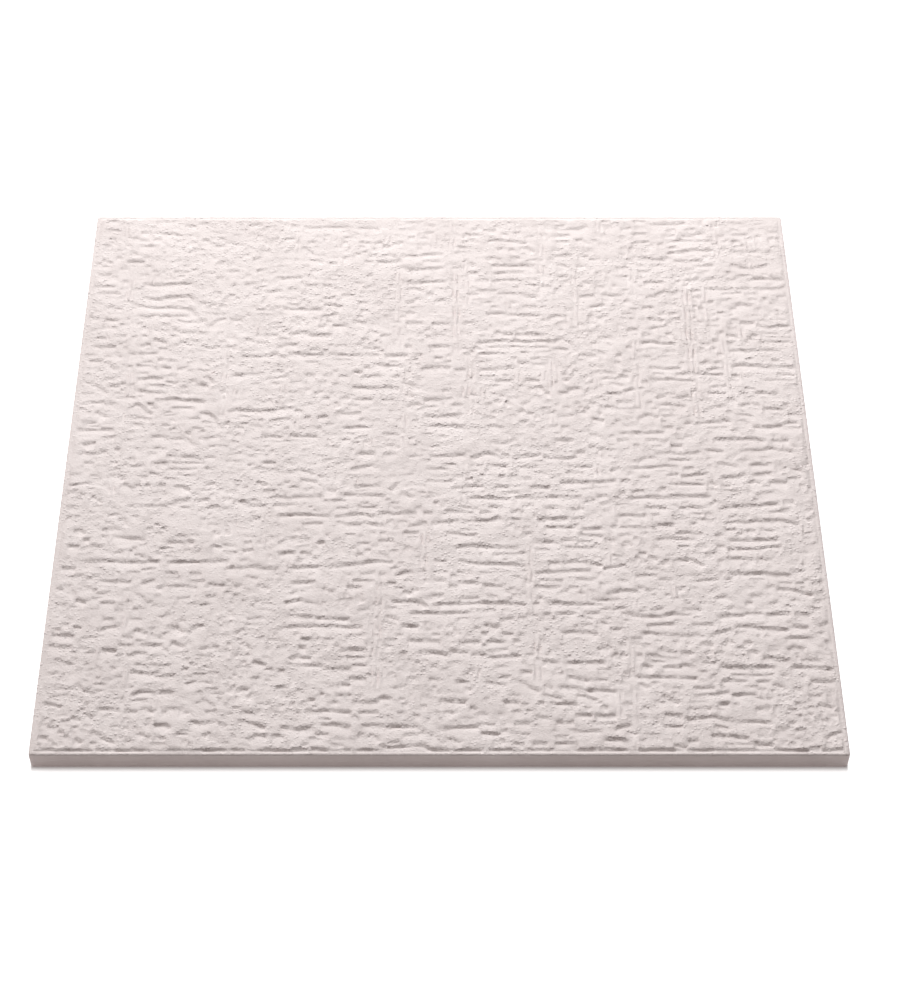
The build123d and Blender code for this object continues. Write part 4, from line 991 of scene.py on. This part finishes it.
@dataclass
class TileBody:
    """The tile as one closed piece: pressed face, flat rim, upright band, undercut and back."""

    relief: PressedRelief
    name: str = "stucco_tile"
    node: str = "ceiling_tile"
    slot: str = "polystyrene_foam"
    band_bottom: float = 0.0074
    undercut_depth: float = 0.0004
    back_round: float = 0.0005
    back_turns: tuple[float, ...] = (0.35, 0.75, 1.15, np.pi / 2)
    smooth_angle: float = 50.0
    triangles: int = 186000

    @property
    def face_side(self) -> float:
        """Returns the tile's side in metres."""
        return self.relief.side * MM

    def press_face(self) -> bpy.types.Object:
        """Adds the face as a grid and moves its points to the relief's heights.

        Returns:
            The face as an open sheet.
        """
        relief = self.relief
        z = relief.heights()
        columns, rows = len(relief.x), len(relief.y)
        bpy.ops.object.select_all(action="DESELECT")
        bpy.ops.mesh.primitive_grid_add(
            x_subdivisions=columns - 1, y_subdivisions=rows - 1, size=self.face_side, location=(0, 0, 0)
        )
        tile = bpy.context.object
        tile.name = self.name
        tile.data.name = self.name
        places = np.empty(columns * rows * 3, dtype=np.float32)
        tile.data.vertices.foreach_get("co", places)
        places = places.reshape(-1, 3).astype(float)
        column = np.round((places[:, 0] / self.face_side + 0.5) * (columns - 1)).astype(int)
        row = np.round((places[:, 1] / self.face_side + 0.5) * (rows - 1)).astype(int)
        flat = np.stack([relief.x[column], relief.y[row]], axis=1)
        places[:, :2] = self.round_corners(flat)
        places[:, 2] = z[row, column]
        tile.data.vertices.foreach_set("co", (places * MM).ravel())
        tile.data.update()
        return tile

    def round_corners(self, flat: np.ndarray) -> np.ndarray:
        """Pulls the points of the four corners onto the corner radius.

        Args:
            flat: Rows of x and y, in mm.

        Returns:
            The same rows with rounded corners.
        """
        straight = self.relief.face_half - self.relief.corner_radius
        centre = np.sign(flat) * straight
        off = flat - centre
        corner = (np.abs(flat) > straight).all(axis=1)
        longest = np.abs(off).max(axis=1)
        length = np.maximum(np.hypot(off[:, 0], off[:, 1]), 1e-9)
        pulled = centre + off * (longest / length)[:, None]
        return np.where(corner[:, None], pulled, flat)

    def thin(self, tile: bpy.types.Object) -> None:
        """Takes out points where the face is smooth.

        Args:
            tile: The face, which then has about the wanted number of triangles.
        """
        bpy.ops.object.modifier_add(type="DECIMATE")
        modifier = tile.modifiers[-1]
        modifier.ratio = self.triangles / (2 * len(tile.data.polygons))
        bpy.ops.object.modifier_apply(modifier=modifier.name)

    def ring(self, drop: float, half_now: float, half_next: float) -> None:
        """Extrudes the open edge down and draws it in.

        Args:
            drop: How far the new edge is below the old one.
            half_now: Half the width at the old edge.
            half_next: Half the width at the new edge.
        """
        bpy.ops.mesh.extrude_edges_move(TRANSFORM_OT_translate={"value": (0, 0, -drop)})
        share = half_next / half_now
        bpy.ops.transform.resize(value=(share, share, 1), center_override=(0, 0, 0))

    def close_body(self) -> None:
        """Extrudes the upright band, the undercut and the rounded back edge, and fills the back."""
        half = self.face_side / 2
        top = self.relief.face_edge_height() * MM
        foot = half - self.undercut_depth
        waist = half - self.undercut_depth * (1 - self.back_round / self.band_bottom)
        bpy.ops.object.mode_set(mode="EDIT")
        bpy.ops.mesh.select_mode(type="EDGE")
        bpy.ops.mesh.select_all(action="SELECT")
        bpy.ops.mesh.region_to_loop()
        self.ring(top - self.band_bottom, half, half)
        self.ring(self.band_bottom - self.back_round, half, waist)
        now, level = waist, self.back_round
        for turn in self.back_turns:
            after = foot - self.back_round * (1 - np.cos(turn))
            below = self.back_round * (1 - np.sin(turn))
            self.ring(level - below, now, after)
            now, level = after, below
        bpy.ops.mesh.edge_face_add()
        bpy.ops.mesh.select_all(action="SELECT")
        bpy.ops.mesh.normals_make_consistent(inside=False)
        bpy.ops.object.mode_set(mode="OBJECT")

    def dress(self, tile: bpy.types.Object, finishes: dict[FoamSurface, bpy.types.Material]) -> None:
        """Gives each face of the mesh the finish of its surface.

        Args:
            tile: The finished piece.
            finishes: The material of each surface.
        """
        for surface in FoamSurface:
            tile.data.materials.append(finishes[surface])
        count = len(tile.data.polygons)
        normals = np.empty(count * 3, dtype=np.float32)
        centres = np.empty(count * 3, dtype=np.float32)
        tile.data.polygons.foreach_get("normal", normals)
        tile.data.polygons.foreach_get("center", centres)
        up = normals.reshape(-1, 3)[:, 2]
        centres = centres.reshape(-1, 3)
        level = centres[:, 2]
        lowest_mark = (self.relief.thickness - self.relief.floor_drop - 0.1) * MM
        inside = np.abs(centres[:, :2]).max(axis=1) < self.relief.foot_half * MM
        slots = np.zeros(count, dtype=np.int32)
        slots[level < self.relief.face_edge_height() * MM - 1e-5] = FoamSurface.CUT_EDGE.value
        slots[up < -0.9] = FoamSurface.BACK.value
        slots[up > 0.5] = FoamSurface.FACE.value
        slots[(level > lowest_mark) & (up > -0.2) & inside] = FoamSurface.FACE.value
        tile.data.polygons.foreach_set("material_index", slots)
        tile.data.update()

    def build(self, finishes: dict[FoamSurface, bpy.types.Material]) -> bpy.types.Object:
        """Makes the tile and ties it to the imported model.

        Args:
            finishes: The material of each surface.

        Returns:
            The finished piece.
        """
        tile = self.press_face()
        self.thin(tile)
        self.close_body()
        self.dress(tile, finishes)
        bpy.ops.object.shade_smooth_by_angle(angle=np.radians(self.smooth_angle))
        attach(tile, "root")
        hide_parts(self.node)
        return tile


class NodeBench:
    """Adds nodes to one node tree and joins them, so that each step takes one line."""

    def __init__(self, tree: bpy.types.NodeTree) -> None:
        """Keeps the tree's nodes and links."""
        self.nodes = tree.nodes
        self.links = tree.links

    def feed(self, socket: bpy.types.NodeSocket, value: Fed) -> None:
        """Links an input to an output, or sets the input's own value.

        Args:
            socket: The input.
            value: The output, or a plain value.
        """
        if isinstance(value, bpy.types.NodeSocket):
            self.links.new(value, socket)
        else:
            socket.default_value = value

    def add(
        self, kind: str, inputs: Optional[dict[Union[str, int], Fed]] = None, **settings: object
    ) -> bpy.types.Node:
        """Adds a node.

        Args:
            kind: The node's type.
            inputs: What feeds each of its inputs, by name or by number.
            settings: The node's own choices, such as its operation.

        Returns:
            The node.
        """
        node = self.nodes.new(kind)
        for name, choice in settings.items():
            setattr(node, name, choice)
        for socket, value in (inputs or {}).items():
            self.feed(node.inputs[socket], value)
        return node

    def multiply(self, first: Fed, second: Fed) -> bpy.types.NodeSocket:
        """Returns the product of two values, each an output or a number."""
        return self.add("ShaderNodeMath", {0: first, 1: second}, operation="MULTIPLY").outputs[0]

    def remap(
        self, value: Fed, start: float, end: float, low: float = 0.0, high: float = 1.0, way: str = "LINEAR"
    ) -> bpy.types.NodeSocket:
        """Maps a value from one range to another.

        Args:
            value: The value.
            start: Where the range starts.
            end: Where it ends.
            low: What the start becomes.
            high: What the end becomes.
            way: LINEAR or SMOOTHSTEP.

        Returns:
            The mapped value.
        """
        inputs = {"Value": value, "From Min": start, "From Max": end, "To Min": low, "To Max": high}
        return self.add("ShaderNodeMapRange", inputs, interpolation_type=way).outputs["Result"]

    def tint(self, share: Fed, first: Fed, second: Fed) -> bpy.types.NodeSocket:
        """Returns a colour between two, at the given share."""
        inputs = {"Factor": share, "A": first, "B": second}
        return self.add("ShaderNodeMix", inputs, data_type="RGBA").outputs["Result"]

    def for_camera(self, others: bpy.types.NodeSocket, camera: bpy.types.NodeSocket) -> bpy.types.NodeSocket:
        """Chooses a shader by the kind of ray.

        Args:
            others: The shader for all other rays.
            camera: The shader for camera rays.

        Returns:
            The chosen shader.
        """
        seen = self.add("ShaderNodeLightPath").outputs["Is Camera Ray"]
        return self.add("ShaderNodeMixShader", {"Fac": seen, 1: others, 2: camera}).outputs[0]


class FoamNodeGroups:
    """Shader node groups that all three foam finishes share."""

    def __init__(self) -> None:
        """Builds each group once."""
        self.grain = self.build_grain()
        self.mottle = self.build_mottle()

    @staticmethod
    def new_group(name: str, inputs: dict[str, tuple], outputs: dict[str, str]) -> bpy.types.NodeTree:
        """Starts a group with its sockets.

        Args:
            name: The group's name.
            inputs: Socket name to its type and default.
            outputs: Socket name to its type.

        Returns:
            The group with its input and output nodes.
        """
        group = bpy.data.node_groups.new(name, "ShaderNodeTree")
        for label, (kind, default) in inputs.items():
            socket = group.interface.new_socket(label, in_out="INPUT", socket_type=kind)
            if default is not None:
                socket.default_value = default
        for label, kind in outputs.items():
            group.interface.new_socket(label, in_out="OUTPUT", socket_type=kind)
        group.nodes.new("NodeGroupInput").name = "in"
        group.nodes.new("NodeGroupOutput").name = "out"
        return group

    def build_grain(self) -> bpy.types.NodeTree:
        """Builds the fine grain: small crumbs with a finer roughness on them.

        Returns:
            A group that puts out a height from 0 to 1 and a mask of the raised grains.
        """
        inputs = {
            "Vector": ("NodeSocketVector", None),
            "Grains per mm": ("NodeSocketFloat", 0.9),
            "Fine share": ("NodeSocketFloat", 0.35),
        }
        outputs = {"Height": "NodeSocketFloat", "Grains": "NodeSocketFloat"}
        group = self.new_group("foam_grain", inputs, outputs)
        bench = NodeBench(group)
        given, out = group.nodes["in"].outputs, group.nodes["out"].inputs
        place = given["Vector"]
        per_metre = bench.multiply(given["Grains per mm"], 1000.0)
        cells = bench.add("ShaderNodeTexVoronoi", {"Vector": place, "Scale": per_metre}).outputs
        dome = bench.remap(cells["Distance"], start=0.62, end=0.1, way="SMOOTHSTEP")
        shade = bench.add("ShaderNodeSeparateColor", {"Color": cells["Color"]}).outputs
        some = bench.remap(shade["Red"], start=0.25, end=0.9)
        patches = bench.add("ShaderNodeTexNoise", {"Vector": place, "Scale": 38.0, "Detail": 1.0}).outputs
        strength = bench.remap(patches["Fac"], start=0.35, end=0.6, low=0.2, high=1.1)
        crumbs = bench.multiply(bench.multiply(dome, some), strength)
        finer = {"Vector": place, "Scale": bench.multiply(per_metre, 1.7), "Detail": 2.0, "Roughness": 0.65}
        fine = bench.add("ShaderNodeTexNoise", finer).outputs["Fac"]
        mixed = {"Factor": given["Fine share"], "A": crumbs, "B": fine}
        bench.feed(out["Height"], bench.add("ShaderNodeMix", mixed, data_type="FLOAT").outputs["Result"])
        bench.feed(out["Grains"], bench.remap(fine, start=0.58, end=0.74))
        return group

    def build_mottle(self) -> bpy.types.NodeTree:
        """Builds the soft change of colour over the foam.

        Returns:
            A group that puts out a colour between two tints.
        """
        inputs = {
            "Vector": ("NodeSocketVector", None),
            "Light tint": ("NodeSocketColor", (0.8, 0.74, 0.72, 1.0)),
            "Dark tint": ("NodeSocketColor", (0.74, 0.67, 0.65, 1.0)),
            "Patch scale": ("NodeSocketFloat", 22.0),
        }
        group = self.new_group("foam_mottle", inputs, {"Color": "NodeSocketColor"})
        bench = NodeBench(group)
        given = group.nodes["in"].outputs
        noise = {"Vector": given["Vector"], "Scale": given["Patch scale"], "Detail": 4.0, "Roughness": 0.6}
        patches = bench.add("ShaderNodeTexNoise", noise).outputs["Fac"]
        spread = bench.remap(patches, start=0.3, end=0.7)
        color = bench.tint(spread, given["Dark tint"], given["Light tint"])
        bench.feed(group.nodes["out"].inputs["Color"], color)
        return group


@dataclass(frozen=True)
class FoamFinish:
    """One finish of the foam, as a material made of the shared groups."""

    name: str
    light_tint: tuple[float, float, float] = (0.832, 0.757, 0.741)
    dark_tint: tuple[float, float, float] = (0.758, 0.682, 0.665)
    patch_scale: float = 30.0
    grains_per_mm: float = 0.5
    fine_share: float = 0.5
    bump_height: float = 0.00072
    # The paler colour of the painted glints, and how much of it the brightest grains get.
    painted_glint_tint: tuple[float, float, float] = (0.90, 0.84, 0.82)
    painted_glint_share: float = 0.8
    roughness: tuple[float, float] = (0.52, 0.72)
    stretch: tuple[float, float, float] = (1.0, 1.0, 1.0)

    def build(self, groups: FoamNodeGroups) -> bpy.types.Material:
        """Builds the material.

        Args:
            groups: The shared node groups.

        Returns:
            The material.
        """
        material = bpy.data.materials.new(self.name)
        material.use_nodes = True
        bench = NodeBench(material.node_tree)
        shader = bench.nodes["Principled BSDF"].inputs
        place = bench.add("ShaderNodeTexCoord").outputs["Object"]
        mapping = {"Vector": place, "Scale": self.stretch}
        stretched = bench.add("ShaderNodeMapping", mapping).outputs["Vector"]
        mottle = bench.add("ShaderNodeGroup", node_tree=groups.mottle)
        bench.feed(mottle.inputs["Vector"], place)
        bench.feed(mottle.inputs["Light tint"], (*self.light_tint, 1.0))
        bench.feed(mottle.inputs["Dark tint"], (*self.dark_tint, 1.0))
        bench.feed(mottle.inputs["Patch scale"], self.patch_scale)
        grain = bench.add("ShaderNodeGroup", node_tree=groups.grain)
        bench.feed(grain.inputs["Vector"], stretched)
        bench.feed(grain.inputs["Grains per mm"], self.grains_per_mm)
        bench.feed(grain.inputs["Fine share"], self.fine_share)
        # Painted glints: the brightest grains get a paler base colour, which stands in for small highlights
        # on the foam.
        bright = bench.multiply(grain.outputs["Grains"], self.painted_glint_share)
        color = bench.tint(bright, mottle.outputs["Color"], (*self.painted_glint_tint, 1.0))
        bench.feed(shader["Base Color"], color)
        smooth, rough = self.roughness
        gloss = bench.remap(grain.outputs["Grains"], 0.0, 1.0, low=rough, high=smooth)
        bench.feed(shader["Roughness"], gloss)
        bump = {"Distance": self.bump_height, "Height": grain.outputs["Height"]}
        bench.feed(shader["Normal"], bench.add("ShaderNodeBump", bump).outputs["Normal"])
        return material


@dataclass
class Studio:
    """The plain white floor, the soft light from behind, and the camera."""

    camera_place: tuple[float, float, float] = (0.0, -1.29905, 1.34237)
    camera_tilt: float = 46.4904
    sensor_width: float = 36.0
    lens: float = 99.93
    shift_x: float = 0.01075
    key_power: float = 49.5
    key_place: tuple[float, float, float] = (-0.08, 1.7, 1.4)
    key_size: tuple[float, float] = (1.3, 0.8)
    sky_back: float = 0.53
    sky_front: float = 0.135
    sky_side: float = 0.7
    sky_turn: tuple[float, float] = (-0.7, 0.5)
    warm_sky: tuple[float, float, float, float] = (1.0, 0.88, 0.84, 1.0)
    pale_sky: tuple[float, float, float, float] = (1.0, 0.99, 0.98, 1.0)
    white: tuple[float, float, float, float] = (1.0, 1.0, 1.0, 1.0)
    floor_side: float = 6.0
    floor_gap: float = 0.00001
    paper: tuple[float, float, float, float] = (0.86, 0.84, 0.84, 1.0)
    seen_paper: tuple[float, float, float, float] = (0.97, 0.97, 0.97, 1.0)
    # The warm glow that the floor gives to every ray but camera rays, a painted bounce light on the tile.
    bounce_tint: tuple[float, float, float, float] = (1.0, 0.92, 0.91, 1.0)
    bounce: float = 0.19
    foot_half: float = 0.2485
    # How far the painted contact shadow on the floor reaches, how much shorter it is at the sides, and the
    # glow at the foot and away from it.
    shadow_reach: float = 0.0066
    side_shadow: float = 2.5
    glow_range: tuple[float, float] = (0.03, 0.9)

    def add_camera(self) -> None:
        """Adds the camera at the photograph's viewing angle and makes it the scene's camera."""
        data = bpy.data.cameras.new("camera")
        data.sensor_width = self.sensor_width
        data.lens = self.lens
        data.shift_x = self.shift_x
        data.dof.use_dof = False
        camera = bpy.data.objects.new("camera", data)
        bpy.context.scene.collection.objects.link(camera)
        camera.location = self.camera_place
        camera.rotation_euler = (np.radians(90 - self.camera_tilt), 0, 0)
        bpy.context.scene.camera = camera

    def add_floor(self) -> None:
        """Adds the white floor, which keeps the tile's shadow, with a painted contact shadow at the tile's
        foot and a painted warm glow that lights the tile.
        """
        bpy.ops.object.select_all(action="DESELECT")
        bpy.ops.mesh.primitive_plane_add(size=self.floor_side, location=(0, 0, -self.floor_gap))
        floor = bpy.context.object
        floor.name = "studio_floor"
        material = bpy.data.materials.new("white_paper")
        material.use_nodes = True
        bench = NodeBench(material.node_tree)
        bench.nodes.clear()
        lit = bench.add("ShaderNodeBsdfDiffuse", {"Color": self.paper}).outputs[0]
        # Painted light: for every ray but camera rays the floor also glows warm, and this glow lights the
        # tile's front as its bounce would.
        bounced = {"Color": self.bounce_tint, "Strength": self.bounce}
        warm = bench.add("ShaderNodeEmission", bounced).outputs[0]
        soft = bench.add("ShaderNodeAddShader", {0: lit, 1: warm}).outputs[0]
        bright = bench.add("ShaderNodeBsdfDiffuse", {"Color": self.seen_paper}).outputs[0]
        # Painted shadow: the glow seen by the camera is weak at the tile's foot, which darkens a narrow band
        # of floor round it.
        strength = self.painted_shadow_glow(bench, bench.add("ShaderNodeTexCoord").outputs["Object"])
        glow = bench.add("ShaderNodeEmission", {"Strength": strength}).outputs[0]
        both = bench.add("ShaderNodeAddShader", {0: bright, 1: glow}).outputs[0]
        bench.add("ShaderNodeOutputMaterial", {"Surface": bench.for_camera(soft, both)})
        floor.data.materials.append(material)
        floor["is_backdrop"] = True

    def painted_shadow_glow(self, bench: NodeBench, place: bpy.types.NodeSocket) -> bpy.types.NodeSocket:
        """Makes a glow that is weak at the tile's foot and full a few millimetres away from it, which paints
        a contact shadow on the floor round the foot.

        Args:
            bench: The floor material's bench.
            place: The floor's own coordinates.

        Returns:
            The strength of the glow.
        """
        joined = place
        for operation, second in (
            ("ABSOLUTE", (0.0, 0.0, 0.0)),
            ("SUBTRACT", (self.foot_half, self.foot_half, 1.0)),
            ("MAXIMUM", (0.0, 0.0, 0.0)),
            ("MULTIPLY", (self.side_shadow, 1.0, 0.0)),
        ):
            step = bench.add("ShaderNodeVectorMath", {0: joined, 1: second}, operation=operation)
            joined = step.outputs["Vector"]
        distance = bench.add("ShaderNodeVectorMath", {0: joined}, operation="LENGTH").outputs["Value"]
        low, high = self.glow_range
        return bench.remap(distance, 0.0, self.shadow_reach, low, high, way="SMOOTHSTEP")

    def add_key(self) -> None:
        """Adds the wide soft lamp behind and above the tile."""
        data = bpy.data.lights.new("back_softbox", "AREA")
        data.shape = "RECTANGLE"
        data.size, data.size_y = self.key_size
        data.energy = self.key_power
        lamp = bpy.data.objects.new("back_softbox", data)
        bpy.context.scene.collection.objects.link(lamp)
        lamp.location = self.key_place
        lamp.rotation_euler = Vector(self.key_place).to_track_quat("Z", "Y").to_euler()

    def add_sky(self) -> None:
        """Sets a world that is brighter behind the tile and on its left, and white to the camera."""
        world = bpy.data.worlds.new("studio_sky")
        bpy.context.scene.world = world
        world.use_nodes = True
        bench = NodeBench(world.node_tree)
        bench.nodes.clear()
        way = bench.add("ShaderNodeTexCoord").outputs["Generated"]
        split = bench.add("ShaderNodeSeparateXYZ", {0: way}).outputs
        front, back = self.sky_turn
        level = bench.remap(split["Y"], front, back, self.sky_front, self.sky_back, way="SMOOTHSTEP")
        side = bench.remap(split["X"], -1.0, 1.0, low=1.0 + self.sky_side, high=1.0 - self.sky_side)
        tint = bench.tint(bench.remap(split["Y"], front, back), self.warm_sky, self.pale_sky)
        sky = {"Color": tint, "Strength": bench.multiply(level, side)}
        light = bench.add("ShaderNodeBackground", sky).outputs[0]
        white = bench.add("ShaderNodeBackground", {"Color": self.white, "Strength": 1.0}).outputs[0]
        bench.add("ShaderNodeOutputWorld", {"Surface": bench.for_camera(light, white)})

    def build(self) -> None:
        """Sets the whole studio up."""
        bpy.context.scene.view_settings.view_transform = "Standard"
        self.add_camera()
        self.add_floor()
        self.add_key()
        self.add_sky()


def foam_finishes() -> dict[FoamSurface, bpy.types.Material]:
    """Builds the finish of each surface.

    Returns:
        The material of each surface.
    """
    groups = FoamNodeGroups()
    face = FoamFinish("pressed_foam", stretch=(0.9, 1.0, 1.0))
    edge = FoamFinish("cut_foam_edge", stretch=(0.12, 0.12, 1.6), bump_height=0.00015, grains_per_mm=0.7)
    back = FoamFinish("foam_back", bump_height=0.00015, grains_per_mm=0.3)
    return {
        FoamSurface.FACE: face.build(groups),
        FoamSurface.CUT_EDGE: edge.build(groups),
        FoamSurface.BACK: back.build(groups),
    }


def main() -> None:
    """Builds the studio and the tile, and logs the imported nodes and the tile's face count."""
    logging.basicConfig(level=logging.INFO, format="%(message)s")
    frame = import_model()
    low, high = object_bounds()
    LOG.info("frame: %s", ", ".join(frame["nodes"]))
    Studio().build()
    low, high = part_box("ceiling_tile")
    side = round((high.x - low.x) / MM, 3)
    thickness = round((high.z - low.z) / MM, 3)
    tile = TileBody(PressedRelief(side, thickness)).build(foam_finishes())
    LOG.info("%s: %d faces", tile.name, len(tile.data.polygons))
    low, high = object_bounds()


if __name__ == "__main__":
    main()
